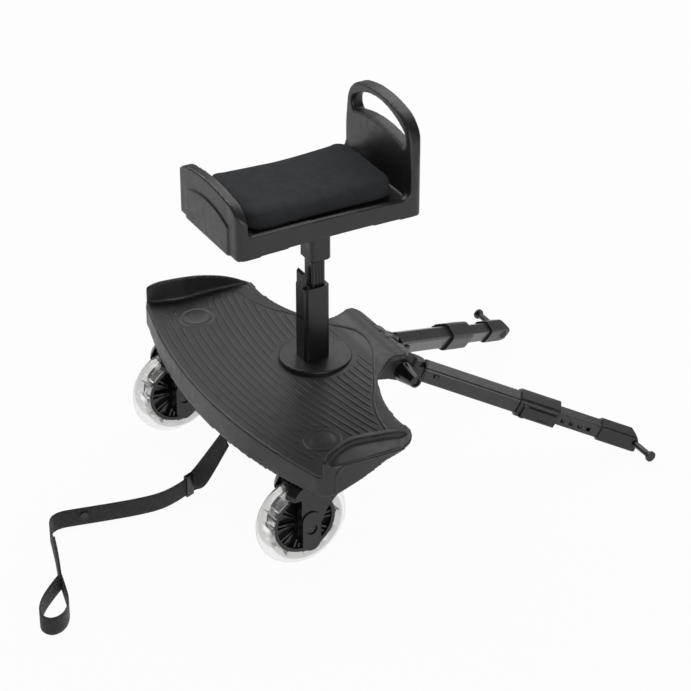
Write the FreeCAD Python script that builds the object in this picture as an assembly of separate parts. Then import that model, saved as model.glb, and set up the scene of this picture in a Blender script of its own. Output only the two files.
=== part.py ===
import FreeCAD, Part
import math
import os

# A ride-on board for the back of a pram: a moulded deck on two swivelling wheels, a saddle seat on a
# height-adjustable post, two extending arms with coupling bolts at the front, and a lifting strap.
# Millimetres, +X right, +Y forward to the pram, +Z up, the floor at z = 0. The drawing is made with
# y = 0 on the seat post, and everything moves along Y at the end, to stand centred on the origin.

V = FreeCAD.Vector

# General fits
gap = 0.3
running = 0.04
snug = 0.02

# Wheels and casters
wheel_radius = 60.0
tread_half = 12.0
tread_round = 12.0
tread_crown = wheel_radius - tread_round
tyre_depth = 18.5
rim_radius = wheel_radius - tyre_depth
rim_half = 10.0
rim_wall = 4.5
rim_lip = 3.0
hub_radius = 14.0
hub_half = 12.0
web_half = 2.5
spoke_pairs = 10
spoke_width = 2.4
spoke_half = 8.0
spoke_spread = 5.0
window_count = 12
window_length = 8.0
window_height = 4.5
bearing_outer = 11.0
bearing_width = 7.0
axle_radius = 4.0
axle_head_radius = 7.0
axle_head = 3.0
wheel_clearance = 2.5
bell_overlap = 16.0
bell_rim_z = 2 * wheel_radius - bell_overlap
bell_roof = 9.7
bell_top_z = 2 * wheel_radius + bell_roof
bell_radius = 46.0
bell_neck = 20.0
leg_gap = 14.2
leg_thick = 11.8
leg_radius = 12.3
leg_drop = 18.0
leg_flare = 45.0
capsule_rise = 12.0
capsule_proud = 2.0
stem_radius = 7.0
stem_grip = 5.5
bush_wall = 3.0
bush_flange = 2.0
bush_flange_radius = 13.5
boss_wall = 5.0

# Deck: plan
deck_half_width = 246.0
deck_rear = 157.0
deck_rear_radius = 787.0
rear_corner_x = deck_half_width - 26.0
rear_corner_bow = 1.75
side_rear_y = -103.0
side_front_x = deck_half_width - 14.0
side_front_y = -8.0
wing_tip_x = deck_half_width - 43.0
wing_tip_y = 18.0
wing_root_x = 104.0
wing_root_y = 33.0
neck_half = 65.0
neck_y = 76.0
hood_half = 67.0
hood_front = 104.0
hood_corner_run = 10.0
hood_corner_drop = 3.0
caster_x = deck_half_width - 76.0
caster_y = -98.0
caster_trail = 16.0

# Deck: heights
deck_lift = 34.3
deck_centre_z = bell_top_z + deck_lift
deck_slope = 0.055
deck_wall = 3.5
deck_top_wall = 4.0
hood_start = 52.0
hood_crest_y = 84.0
hood_rise = 12.5
hood_top = deck_centre_z + hood_rise
hood_lip_z = deck_centre_z
hood_bow = 0.9
skirt_depth = 46.0
skirt_rear_z = deck_centre_z - skirt_depth
skirt_front_y = -38.0
skirt_tail = 20.0
skirt_tail_drop = 6.0
rim_depth = 5.5
hood_rim = 8.0
rib_thick = 3.0
rib_places = (60.0, 115.0)
grip_slot_pitch = 9.5
grip_slot_half = 1.6
grip_slot_rear = 13.0
grip_slot_front = 4.0

# Side lips: an upright inner wall with a narrow crest, and a lower top that falls outwards
lip_wall_rear_x = deck_half_width - 2.0
lip_turn_x = deck_half_width - 22.0
lip_turn_y = -99.0
lip_wall_x = deck_half_width - 29.5
lip_wall_y = -74.0
lip_waist_x = deck_half_width - 33.0
lip_waist_y = -32.0
lip_wall_front_x = deck_half_width - 43.0
lip_rear_y = -134.0
lip_peak_y = -96.0
lip_front_y = 12.0
lip_rise = 31.8
lip_fall = 0.4
lip_crest_width = 8.0
lip_step = 6.0
lip_crest_x = deck_half_width - 25.0

# Post and seat height lever
disc_radius = 46.0
disc_rise = 4.5
disc_z = deck_centre_z + disc_rise
disc_round = 2.0
socket_radius = 21.0
socket_depth = 24.0
socket_floor_z = deck_centre_z - socket_depth
socket_floor = 6.0
sleeve_half = 14.0
sleeve_corner = 5.0
sleeve_height = 106.0
sleeve_top = deck_centre_z + sleeve_height
post_half = 10.0
post_corner = 3.5
post_wall = 2.2
post_play = 0.15
post_low = deck_centre_z + 31.0
post_bolt_z = deck_centre_z - 9.0
post_bolt_radius = 3.0
flute_radius = 1.2
flute_step = 4.0
lever_half = 8.0
lever_thick = 6.7
lever_low = sleeve_top - 42.0
lever_high = sleeve_top + 22.0
lever_pivot_z = sleeve_top - 8.0
lever_relief = 1.8
lever_pin_radius = 1.5
index_radius = 2.4
index_z = sleeve_top - 38.0
index_reach = 6.0
seat_drop = 35.0
seat_lift = 50.0

# Seat
seat_height = 208.0
seat_low_z = deck_centre_z + seat_height
seat_half = 80.0
seat_rear = 146.0
seat_front = 105.0
seat_corner = 11.0
seat_arch = 5.0
seat_rim_rear_z = seat_low_z + 32.5
seat_rim_front_z = seat_low_z + 25.0
seat_floor_z = seat_low_z + 25.0
seat_floor = 5.0
seat_side = 8.0
seat_skin = 4.0
seat_margin = 5.0
well_corner = 13.0
lip_thick = 15.0
lip_top = seat_low_z + 74.5
lip_shoulder = seat_low_z + 46.0
panel_thick = 17.0
panel_height = 135.0
panel_top = seat_low_z + panel_height
panel_shoulder = seat_low_z + 0.72 * panel_height
panel_draft = 4.0
slot_end_low = seat_low_z + 0.635 * panel_height
slot_low = seat_low_z + 0.7 * panel_height
slot_end_high = seat_low_z + 0.8 * panel_height
slot_high = seat_low_z + 0.934 * panel_height
slot_half = seat_half - 15.0
slot_round = 6.0
sweep = 10.0
badge_depth = 2.2
badge_half = seat_half - 25.0
badge_top = seat_low_z + 50.5
badge_shoulder = seat_low_z + 38.0
cushion_half = seat_half - 15.0
cushion_rear = 119.0
cushion_front = 79.0
cushion_corner = 20.0
cushion_high = seat_floor_z + 27.0
cushion_dip = 7.0
cushion_round = 5.0
bracket_half = 15.5
bracket_rear = 13.2
bracket_corner = 5.0
bracket_low = seat_low_z - 66.0
bracket_chamfer = 2.0
bracket_plate_x = 45.0
bracket_plate_y = 35.0
bracket_plate = 4.0
gusset_half = 2.5
gusset_height = 28.0
gusset_inset = 4.0
seat_screw_x = 34.0
seat_screw_y = 25.0
screw_radius = 2.0
screw_head = 3.8
screw_head_height = 2.5
screw_tip = 1.5

# Arm hinge under the hood
hinge_y = 103.0
hinge_drop = 29.5
hinge_z = deck_centre_z - hinge_drop
shaft_radius = 5.0
spine_rear = -45.0
spine_front = 77.5
spine_low_z = deck_centre_z - 30.0
spine_rear_z = deck_centre_z - 23.0
spine_flat = 37.5
spine_wall = 5.0
spine_screw_x = 38.0
spine_screw_rear = 8.0
spine_screw_front = 6.0
spine_screw_sink = 2.5
knuckle_mid = 9.0
knuckle_mid_radius = 20.0
drum_radius = 24.0
drum_end = 40.0
drum_sole = 15.0
hinge_ear_thick = 3.4
hinge_ear_radius = 9.5
hinge_ear_rear = 62.0
hinge_ear_gap = 0.4
spine_half = drum_end + hinge_ear_gap + hinge_ear_thick
knob_length = 28.0
knob_ring = 1.5
knob_groove = 1.6
knob_wall = 2.5
shaft_short = 3.0
knob_large = 14.0
knob_small = 8.0
knob_grooves = 8
bolt_height = 13.4
arm_swing = 24.56
swing_x = 32.8
swing_forward = 20.0
swing_rise = 4.0
lug_radius = 12.0
lug_half = 13.0
tongue_radius = 10.5
tongue_half = 5.9
swing_pin_radius = 4.0

# Arms: places along the arm are measured from the swing pin
tube_start = 16.0
tube_end = 190.0
tube_wall = 2.0
tube_eave = 15.0
tube_eave_z = 7.0
tube_ridge_z = 15.5
tube_base = 9.0
tube_base_z = -13.5
tube_corner = 4.0
slide_gap = 0.35
inner_wall = 1.8
inner_start = 95.0
inner_end = 289.0
plug_end = 44.0
root_flange = 3.0
rivet_at = 30.0
rivet_radius = 2.5
rivet_head = 4.0
collar_start = 145.3
collar_end = 199.6
collar_wall = 3.4
index_holes = 7
index_step = 12.0
index_first = 173.0
index_size = 5.5
cap_start = 260.3
cap_end = 313.9
cap_wall = 2.6
bolt_at = 304.0
bolt_radius = 4.0
bolt_head_radius = 7.0
bolt_head = 2.5
bolt_flare = 5.0
bolt_reach = 50.0
bolt_root = 15.0
latch_end = 196.0
latch_half = 7.5
latch_thick = 3.6
latch_pivot = 153.0
latch_pin_radius = 1.4
latch_ear = 2.2
dish_radius = 40.0
dish_depth = 1.0

# Strap: the route's points on the floor are chosen by hand
strap_width = 25.0
strap_thick = 1.8
strap_lift = 2.2
anchor_y = -128.0
anchor_half = 16.0
anchor_thick = 4.0
anchor_low = 84.0
anchor_foot = 11.0
anchor_screw_x = 9.0
ring_bar = 3.5
ring_opening = 9.0
slider_length = 12.0
slider_depth = 5.6
slider_bar = 2.0
strap_route = [(-24, -164), (-15, -187), (-8, -214), (-11, -246), (-19, -284), (-28, -322),
               (-33, -345), (-24, -361), (8, -370), (48, -382), (87.1, -395.9)]
loop_route = [(88, -396), (104, -417), (126, -438), (149, -449), (165, -441), (161, -422), (140, -407),
              (114, -400), (89.6, -394.3)]
snap_radius = 5.0
snap_height = 2.2
snap_share = 0.76
snap_seat = 0.12


# Drawing helpers

def spot(plane, u, v):
    """A point of a drawing plane in space."""
    places = {"xy": V(u, v, 0), "yz": V(0, u, v), "xz": V(u, 0, v)}
    return places[plane]


NORMALS = {"xy": V(0, 0, 1), "yz": V(1, 0, 0), "xz": V(0, 1, 0)}


def outline(plane, start, *steps):
    """A closed wire: a step is a corner, or a point on an arc together with the arc's end."""
    edges = []
    here = start
    for step in steps:
        if isinstance(step[0], tuple):
            via, end = step
            edges.append(Part.Arc(spot(plane, *here), spot(plane, *via), spot(plane, *end)).toShape())
            here = end
        else:
            edges.append(Part.LineSegment(spot(plane, *here), spot(plane, *step)).toShape())
            here = step
    if here != start:
        edges.append(Part.LineSegment(spot(plane, *here), spot(plane, *start)).toShape())
    return Part.Wire(edges)


def prism(plane, wire, low, high):
    """A closed wire of a drawing plane, extruded along the plane's normal from low to high."""
    normal = NORMALS[plane]
    face = Part.Face(wire)
    face.translate(normal * low)
    return face.extrude(normal * (high - low))


def box(x, y, z):
    """A box from pairs of lowest and highest values."""
    return Part.makeBox(x[1] - x[0], y[1] - y[0], z[1] - z[0], V(x[0], y[0], z[0]))


def rod(radius, low, high, axis, u, v):
    """A cylinder along a row axis from low to high, with its centre at the other two values."""
    bases = {"x": (V(low, u, v), V(1, 0, 0)), "y": (V(u, low, v), V(0, 1, 0)), "z": (V(u, v, low), V(0, 0, 1))}
    base, direction = bases[axis]
    return Part.makeCylinder(radius, high - low, base, direction)


def edges_along(shape, axis):
    """The straight edges that run along an axis."""
    found = []
    for edge in shape.Edges:
        ends = edge.Vertexes
        if len(ends) < 2 or edge.Curve.TypeId != "Part::GeomLine":
            continue
        run = ends[1].Point - ends[0].Point
        if run.Length > 0.01 and abs(abs(run.dot(axis)) / run.Length - 1) < 1e-6:
            found.append(edge)
    return found


def column(half_x, half_y, corner, low, high, centre_y=0.0):
    """An upright bar with a rounded rectangular section."""
    bar = box((-half_x, half_x), (centre_y - half_y, centre_y + half_y), (low, high))
    return bar.makeFillet(corner, edges_along(bar, V(0, 0, 1)))


def fused(*shapes):
    """Shapes joined into one clean solid."""
    whole = shapes[0]
    for shape in shapes[1:]:
        whole = whole.fuse(shape)
    return whole.removeSplitter()


def mirrored(shape):
    """The shape on the other side of the board."""
    return shape.mirror(V(0, 0, 0), V(1, 0, 0))


# Deck

def deck_height(y):
    """The height of the standing surface, which rises a little towards the front."""
    return deck_centre_z + deck_slope * y


def plan_wire():
    """The board's outline from above: a round rear edge, rounded wings, a waist and the hood."""
    rear_corner_y = rear_corner_x ** 2 / (2 * deck_rear_radius) - deck_rear
    corner_x = 0.3 * rear_corner_x + 0.7 * deck_half_width + rear_corner_bow
    corner_via = (corner_x, 0.35 * side_rear_y + 0.65 * rear_corner_y + rear_corner_bow)
    side_via = (deck_half_width - 2.5, 0.5 * (side_rear_y + side_front_y))
    tip_via = (0.62 * side_front_x + 0.38 * wing_tip_x, 0.35 * side_front_y + 0.65 * wing_tip_y)
    wing_via = (0.47 * wing_tip_x + 0.53 * wing_root_x, wing_tip_y + 0.5)
    neck_via = (0.28 * wing_root_x + 0.72 * neck_half, 0.6 * wing_root_y + 0.4 * neck_y)
    hood_via = (hood_half, 0.5 * (neck_y + hood_front) - 2)
    hood_corner = (hood_half - hood_corner_run, hood_front - hood_corner_drop)
    right = [((0, -deck_rear), (rear_corner_x, rear_corner_y)), (corner_via, (deck_half_width, side_rear_y)),
             (side_via, (side_front_x, side_front_y)), (tip_via, (wing_tip_x, wing_tip_y)),
             (wing_via, (wing_root_x, wing_root_y)), (neck_via, (neck_half, neck_y)), (hood_via, hood_corner)]
    ends = [step[1] for step in right]
    left = []
    for step, end in zip(reversed(right[1:]), reversed(ends[:-1])):
        via = step[0]
        left.append(((-via[0], via[1]), (-end[0], end[1])))
    front = ((0, hood_front + 1.5), (-hood_corner[0], hood_corner[1]))
    return outline("xy", (-rear_corner_x, rear_corner_y), *right, front, *left)


def top_profile(drop, low):
    """Side view of everything under the standing surface and the hood, lowered by a wall."""
    rear = -deck_rear - skirt_tail
    start_z = deck_height(hood_start)
    middle = (0.5 * (hood_start + hood_crest_y), 0.5 * (start_z + hood_top) - drop)
    first_via = (0.5 * (hood_start + middle[0]), 0.5 * (start_z - drop + middle[1]) - hood_bow)
    second_via = (0.5 * (middle[0] + hood_crest_y), 0.5 * (middle[1] + hood_top - drop) + hood_bow)
    front_via = (0.4 * hood_crest_y + 0.6 * hood_front, 0.5 * (hood_top + hood_lip_z) - drop + 3)
    far = hood_front + 3
    return outline("yz", (rear, low), (rear, deck_height(rear) - drop), (hood_start, start_z - drop),
                   (first_via, middle), (second_via, (hood_crest_y, hood_top - drop)),
                   (front_via, (far, hood_lip_z - drop - 2)), (far, low))


def skirt_profile(lift):
    """Side view of everything above the lower edge of the skirt."""
    rear = -deck_rear - skirt_tail
    rear_z = skirt_rear_z - skirt_tail_drop + lift
    front_z = deck_height(skirt_front_y) - rim_depth + lift
    waist_y = hood_start + 8
    crest_y = hood_crest_y - 12
    hood_z = hood_top - hood_rim + lift
    lip_z = hinge_z + drum_radius + 1.0 + lift
    high = 2 * hood_top
    waist_z = deck_height(waist_y) - rim_depth + lift
    return outline("yz", (rear, rear_z), (skirt_front_y, front_z), (waist_y, waist_z), (crest_y, hood_z),
                   (hood_crest_y + 10, hood_z), (hood_front - 1, lip_z),
                   (hood_front + 10, lip_z), (hood_front + 10, high), (rear, high))


def lip_profile(drop, low):
    """Side view of the arch that a side lip makes along its crest."""
    peak = deck_height(lip_peak_y) + lip_rise - drop
    back = lip_peak_y - lip_rear_y
    ahead = lip_front_y - lip_peak_y
    return outline("yz", (lip_rear_y, low), (lip_rear_y, peak - 1.57 * lip_rise),
                   ((lip_rear_y + 0.145 * back, peak - 0.93 * lip_rise),
                    (lip_rear_y + 0.34 * back, peak - 0.22 * lip_rise)),
                   ((lip_rear_y + 0.58 * back, peak - 0.07 * lip_rise), (lip_peak_y, peak)),
                   ((lip_peak_y + 0.28 * ahead, peak - 0.057 * lip_rise),
                    (lip_peak_y + 0.574 * ahead, peak - 0.27 * lip_rise)),
                   ((lip_peak_y + 0.778 * ahead, peak - 0.516 * lip_rise),
                    (lip_front_y, peak - 0.963 * lip_rise)),
                   (lip_front_y, low))


def lip_plan(inset, low):
    """The space on the outer side of a right-hand lip's inner wall."""
    far = deck_half_width + lip_rise
    wall = outline("xy", (lip_wall_rear_x + inset, lip_rear_y),
                   ((lip_turn_x + inset, lip_turn_y), (lip_wall_x + inset, lip_wall_y)),
                   ((lip_waist_x + inset, lip_waist_y), (lip_wall_front_x + inset, lip_front_y)),
                   (far, lip_front_y), (far, lip_rear_y))
    return prism("xy", wall, low - lip_rise, 2 * hood_top)


def lip_arch(drop, low):
    """The arch of a right-hand lip, with a top that falls outwards."""
    reach = deck_half_width + lip_rise - lip_crest_x
    face = Part.Face(lip_profile(drop, low))
    face.translate(V(lip_crest_x - reach, 0, reach * lip_fall))
    return face.extrude(V(2 * reach, 0, -2 * reach * lip_fall))


def lip_block(inset, drop, low):
    """A right-hand lip from its inner wall outwards, and its crest where no inset is given."""
    block = lip_arch(drop + lip_step, low).common(lip_plan(inset, low))
    if inset:
        return block
    crest = lip_arch(drop, low).common(lip_plan(0, low)).cut(lip_plan(lip_crest_width, low))
    return block.fuse(crest)


def deck_form(inset, drop, low):
    """The deck's full form, or with an inset and a drop the space inside its walls."""
    plan = plan_wire()
    if inset:
        plan = plan.makeOffset2D(-inset)
    column_of_plan = prism("xy", plan, low, 2 * hood_top)
    flat = column_of_plan.common(prism("yz", top_profile(drop, low), -2 * deck_half_width, 2 * deck_half_width))
    lip = lip_block(inset, drop, low).common(column_of_plan)
    return flat.fuse(lip).fuse(mirrored(lip))


def caster_boss():
    """The boss that holds a swivel bush, on the right."""
    top = deck_height(caster_y) - 0.5 * deck_top_wall
    radius = stem_radius + bush_wall + boss_wall
    return rod(radius, bell_top_z + gap + bush_flange, top, "z", caster_x, caster_y)


def make_deck():
    low = skirt_rear_z - 30
    hollow = deck_form(deck_wall, deck_top_wall, low)
    above = prism("yz", skirt_profile(0), -2 * deck_half_width, 2 * deck_half_width)
    shell = deck_form(0, 0, low).common(above).cut(hollow)
    inside = hollow.common(prism("yz", skirt_profile(rib_thick), -2 * deck_half_width, 2 * deck_half_width))
    for x in rib_places:
        plate = box((x - rib_thick / 2, x + rib_thick / 2), (-deck_rear, hood_start), (low, hood_top))
        rib = plate.common(inside)
        shell = shell.fuse(rib).fuse(mirrored(rib))
    boss = caster_boss()
    shell = shell.fuse(boss).fuse(mirrored(boss))
    bore_top = deck_height(caster_y) - deck_top_wall
    bore = rod(stem_radius + bush_wall + running, bell_top_z, bore_top, "z", caster_x, caster_y)
    shell = shell.cut(bore).cut(mirrored(bore))
    shell = shell.cut(rod(socket_radius + gap, low, 2 * hood_top, "z", 0, 0))
    for place in range(-2, 3):
        x = place * grip_slot_pitch
        shell = shell.cut(box((x - grip_slot_half, x + grip_slot_half),
                              (hood_front - grip_slot_rear, hood_front - grip_slot_front),
                              (hinge_z, 2 * hood_top)))
    for hole in spine_screw_holes():
        shell = shell.cut(hole)
    for hole in anchor_screw_holes():
        shell = shell.cut(hole)
    return shell.removeSplitter()


# Spine, hinge shaft and knobs

def spine_top(y):
    """The underside of the deck, which the spine bears against."""
    return deck_height(y) - deck_top_wall


SPINE_SCREWS = [(x, y) for x in (-spine_screw_x, spine_screw_x)
                for y in (spine_rear + spine_screw_rear, hood_start - spine_screw_front)]


def spine_screw_bottom(y):
    """The height of the spine's lower face at a screw."""
    share = (y - spine_rear) / (spine_front - spine_flat - spine_rear)
    return spine_rear_z + (spine_low_z - spine_rear_z) * min(share, 1.0) + spine_screw_sink


def spine_screw_holes():
    """Screw holes through the spine into the deck's wall."""
    holes = []
    for x, y in SPINE_SCREWS:
        top = deck_height(y) - 1.0
        holes.append(rod(screw_radius + snug, spine_low_z - 10, top, "z", x, y))
    return holes


def hinge_ear():
    """The right-hand side plate that carries the hinge shaft beside the drum."""
    lean = 0.5 * hinge_ear_radius
    side = outline("yz", (hinge_ear_rear, spine_low_z), (hinge_ear_rear, spine_top(hinge_ear_rear)),
                   (hood_crest_y, spine_top(hood_crest_y)), (hinge_y + lean, hinge_z + math.sqrt(3) * lean),
                   ((hinge_y + hinge_ear_radius, hinge_z), (hinge_y, hinge_z - hinge_ear_radius)))
    return prism("yz", side, spine_half - hinge_ear_thick, spine_half)


def make_spine():
    side = outline("yz", (spine_rear, spine_top(spine_rear)), (spine_front, spine_top(spine_front)),
                   (spine_front, spine_low_z), (spine_front - spine_flat, spine_low_z),
                   (spine_rear, spine_rear_z))
    body = prism("yz", side, -spine_half, spine_half)
    pocket_top = spine_top(spine_rear) - spine_wall
    pocket = box((-spine_half + spine_wall, spine_half - spine_wall),
                 (socket_radius + gap + spine_wall, spine_front - spine_wall), (spine_low_z - 10, pocket_top))
    body = body.cut(pocket)
    neck = box((-knuckle_mid, knuckle_mid), (spine_front - spine_wall, hinge_y),
               (hinge_z - knuckle_mid_radius + 5, hinge_z + knuckle_mid_radius - 2))
    disc = rod(knuckle_mid_radius, -knuckle_mid, knuckle_mid, "x", hinge_y, hinge_z)
    body = body.fuse(neck).fuse(disc)
    ear = hinge_ear()
    body = body.fuse(ear).fuse(mirrored(ear))
    body = body.cut(rod(shaft_radius + snug, -2 * spine_half, 2 * spine_half, "x", hinge_y, hinge_z))
    body = body.cut(rod(socket_radius + gap, spine_low_z - 20, hood_top, "z", 0, 0))
    for hole, (x, y) in zip(spine_screw_holes(), SPINE_SCREWS):
        bottom = spine_screw_bottom(y)
        body = body.cut(hole)
        body = body.cut(rod(screw_head + gap, spine_low_z - 10, bottom, "z", x, y))
    return body.removeSplitter()


def make_spine_screws():
    screws = []
    for x, y in SPINE_SCREWS:
        bottom = spine_screw_bottom(y)
        shank = rod(screw_radius, bottom - 1, deck_height(y) - 1.5, "z", x, y)
        head = rod(screw_head, bottom - screw_head_height, bottom, "z", x, y)
        screws.append(fused(shank, head))
    return Part.makeCompound(screws)


KNOB_START = spine_half + gap
KNOB_END = KNOB_START + knob_length


def make_hinge_shaft():
    reach = KNOB_END - shaft_short
    return rod(shaft_radius, -reach, reach, "x", hinge_y, hinge_z)


def make_knob():
    """The right-hand clamp knob: a tapered grip with a ring at its end."""
    grip = Part.makeCone(knob_large, knob_small, knob_length, V(KNOB_START, hinge_y, hinge_z), V(1, 0, 0))
    ring = rod(knob_small, KNOB_END - shaft_short, KNOB_END + knob_ring, "x", hinge_y, hinge_z)
    body = grip.fuse(ring)
    for turn in range(knob_grooves):
        angle = 2 * math.pi * turn / knob_grooves
        across = (knob_large - 1) * math.cos(angle)
        above = (knob_large - 1) * math.sin(angle)
        groove = rod(knob_groove, KNOB_START + shaft_short, 2 * KNOB_END, "x", hinge_y, hinge_z)
        groove.translate(V(0, across, above))
        body = body.cut(groove)
    body = body.cut(rod(shaft_radius + running, 0, KNOB_END - shaft_short, "x", hinge_y, hinge_z))
    body = body.cut(rod(knob_small - knob_wall, KNOB_END - 0.5, 2 * KNOB_END, "x", hinge_y, hinge_z))
    return body.removeSplitter()


# Arms: drawn along +Y from the swing pin, with +X outwards and +Z up, then placed

SWING = math.radians(arm_swing)
ARM_REACH = math.hypot(swing_forward + bolt_at * math.cos(SWING), swing_rise)
PITCH = math.asin((hinge_z - bolt_height) / ARM_REACH) + math.asin(swing_rise / ARM_REACH)
FORWARD = V(0, math.cos(PITCH), -math.sin(PITCH))
ARM_UP = V(0, math.sin(PITCH), math.cos(PITCH))
ARM_ALONG = V(1, 0, 0) * math.sin(SWING) + FORWARD * math.cos(SWING)
ARM_OUT = V(1, 0, 0) * math.cos(SWING) - FORWARD * math.sin(SWING)
SWING_PIN = V(swing_x, hinge_y, hinge_z) + FORWARD * swing_forward + ARM_UP * swing_rise


def placed(shape, out, along, up, origin):
    """A shape moved from its drawing axes to the given axes and origin."""
    matrix = FreeCAD.Matrix(out.x, along.x, up.x, origin.x, out.y, along.y, up.y, origin.y,
                            out.z, along.z, up.z, origin.z, 0, 0, 0, 1)
    copy = shape.copy()
    copy.Placement = FreeCAD.Placement(matrix).multiply(copy.Placement)
    return copy


def on_arm(shape):
    """A shape drawn along the arm, in its place on the right."""
    return placed(shape, ARM_OUT, ARM_ALONG, ARM_UP, SWING_PIN)


def on_knuckle(shape):
    """A shape drawn about the hinge with +Y towards the arm, in its place."""
    return placed(shape, V(1, 0, 0), FORWARD, ARM_UP, V(0, hinge_y, hinge_z))


def rounded_ring(corners, radius):
    """A closed wire through corners with every corner rounded by an arc."""
    edges = []
    starts = []
    ends = []
    vias = []
    count = len(corners)
    for index in range(count):
        corner = corners[index]
        back = corners[index - 1] - corner
        ahead = corners[(index + 1) % count] - corner
        back.normalize()
        ahead.normalize()
        half = 0.5 * back.getAngle(ahead)
        middle = back + ahead
        middle.normalize()
        starts.append(corner + back * (radius / math.tan(half)))
        ends.append(corner + ahead * (radius / math.tan(half)))
        vias.append(corner + middle * (radius / math.sin(half) - radius))
    for index in range(count):
        edges.append(Part.Arc(starts[index], vias[index], ends[index]).toShape())
        edges.append(Part.LineSegment(ends[index], starts[(index + 1) % count]).toShape())
    return Part.Wire(edges)


def section(offset):
    """The arm's shield-shaped section with rounded corners, grown or shrunk by an offset."""
    corners = [(-tube_base, tube_base_z), (tube_base, tube_base_z), (tube_eave, tube_eave_z), (0, tube_ridge_z),
               (-tube_eave, tube_eave_z)]
    wire = rounded_ring([spot("xz", *corner) for corner in corners], tube_corner)
    return wire.makeOffset2D(offset) if offset else wire


def arm_bar(offset, start, end):
    """A solid bar of the arm's section."""
    return prism("xz", section(offset), start, end)


INNER_OFFSET = -(tube_wall + slide_gap)


def make_knuckle():
    """The right-hand drum that turns on the hinge shaft and holds the arm's swing pin."""
    drum = rod(drum_radius, knuckle_mid + hinge_ear_gap, drum_end, "x", 0, 0)
    sole = box((0, drum_end + 1), (-2 * drum_radius, 2 * drum_radius), (-2 * drum_radius, -drum_sole))
    drum = drum.cut(sole)
    lug_low = swing_rise - lug_half
    lug_high = swing_rise + lug_half
    lug = box((swing_x - lug_radius, drum_end), (0, swing_forward), (lug_low, lug_high))
    nose = rod(lug_radius, lug_low, lug_high, "z", swing_x, swing_forward)
    body = drum.fuse(lug).fuse(nose)
    clear = swing_forward - tongue_radius - 0.6
    half = tongue_half + gap
    mouth = box((swing_x - lug_radius - gap, 2 * drum_end), (clear, swing_forward + 2 * drum_radius),
                (swing_rise - half, swing_rise + half))
    body = body.cut(mouth)
    body = body.cut(rod(shaft_radius + running, 0, drum_end + 10, "x", 0, 0))
    body = body.cut(rod(swing_pin_radius + snug, lug_low - 20, lug_high + 20, "z", swing_x, swing_forward))
    return on_knuckle(body.removeSplitter())


def make_swing_pin():
    pin = rod(swing_pin_radius, swing_rise - lug_half, swing_rise + lug_half, "z", swing_x, swing_forward)
    return on_knuckle(pin)


def make_arm_root():
    """The plug in the tube's end, with the tongue that swings in the knuckle."""
    eye = rod(tongue_radius, -tongue_half, tongue_half, "z", 0, 0)
    tongue = box((-tongue_radius + 1, tongue_radius - 1), (0, tube_start), (-tongue_half, tongue_half))
    flange = arm_bar(0, tube_start - root_flange, tube_start)
    plug = arm_bar(-tube_wall - snug, tube_start - 1, plug_end)
    body = fused(eye, tongue, flange, plug)
    body = body.cut(rod(swing_pin_radius + running, -20, 20, "z", 0, 0))
    body = body.cut(rod(rivet_radius + snug, -40, 40, "x", rivet_at, 0))
    return on_arm(body)


def make_outer_tube():
    body = arm_bar(0, tube_start, tube_end).cut(arm_bar(-tube_wall, tube_start - 1, tube_end + 1))
    body = body.cut(rod(rivet_radius + snug, -40, 40, "x", rivet_at, 0))
    return on_arm(body)


def make_rivet():
    reach = tube_eave
    body = rod(rivet_radius, -reach - 2, reach + 2, "x", rivet_at, 0)
    head = Part.makeCone(rivet_head, rivet_head - 1.2, 2, V(reach, rivet_at, 0), V(1, 0, 0))
    return on_arm(fused(body, head, mirrored(head)))


# Latch: drawn against the collar's lower outer side face

SIDE_RUN = V(tube_eave - tube_base, 0, tube_eave_z - tube_base_z)
SIDE_UP = SIDE_RUN * (1 / SIDE_RUN.Length)
SIDE_OUT = V(SIDE_UP.z, 0, -SIDE_UP.x)
SIDE_MIDDLE = V(tube_base, 0, tube_base_z) + SIDE_RUN * 0.5 + SIDE_OUT * collar_wall


def on_side(shape):
    """A shape drawn with +X off the collar's side face and +Z up the face, on the arm."""
    return placed(shape, SIDE_OUT, V(0, 1, 0), SIDE_UP, SIDE_MIDDLE)


def make_collar():
    body = arm_bar(collar_wall, collar_start, collar_end)
    body = body.cut(arm_bar(snug, collar_start - 1, tube_end + gap))
    body = body.cut(arm_bar(INNER_OFFSET + slide_gap, tube_end - 1, collar_end + 1))
    for side in (-1, 1):
        low = min(side * (latch_half + gap), side * (latch_half + gap + latch_ear))
        ear = box((-1, latch_thick + gap), (latch_pivot - 3, latch_pivot + 3), (low, low + latch_ear))
        body = body.fuse(on_side(ear))
    hole = rod(latch_pin_radius + snug, -20, 20, "z", latch_thick / 2 + gap, latch_pivot)
    hole = hole.common(box((0.1, 20), (collar_start, collar_end), (-20, 20)))
    body = body.cut(on_side(hole))
    return on_arm(body.removeSplitter())


def make_latch():
    """The paddle that locks the inner tube: a round heel on its pin and a dished thumb face."""
    middle = gap + latch_thick / 2
    plate = box((gap, gap + latch_thick), (latch_pivot, latch_end), (-latch_half, latch_half))
    heel = rod(latch_thick / 2, -latch_half, latch_half, "z", middle, latch_pivot)
    dish = rod(dish_radius, -latch_half + 2, latch_half - 2, "z", gap + latch_thick + dish_radius - dish_depth,
               0.5 * (latch_pivot + latch_end) + 6)
    body = plate.fuse(heel).cut(dish)
    body = body.cut(rod(latch_pin_radius + running, -20, 20, "z", middle, latch_pivot))
    return on_arm(on_side(body.removeSplitter()))


def make_latch_pin():
    reach = latch_half + gap + latch_ear
    pin = rod(latch_pin_radius, -reach, reach, "z", latch_thick / 2 + gap, latch_pivot)
    return on_arm(on_side(pin))


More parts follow.
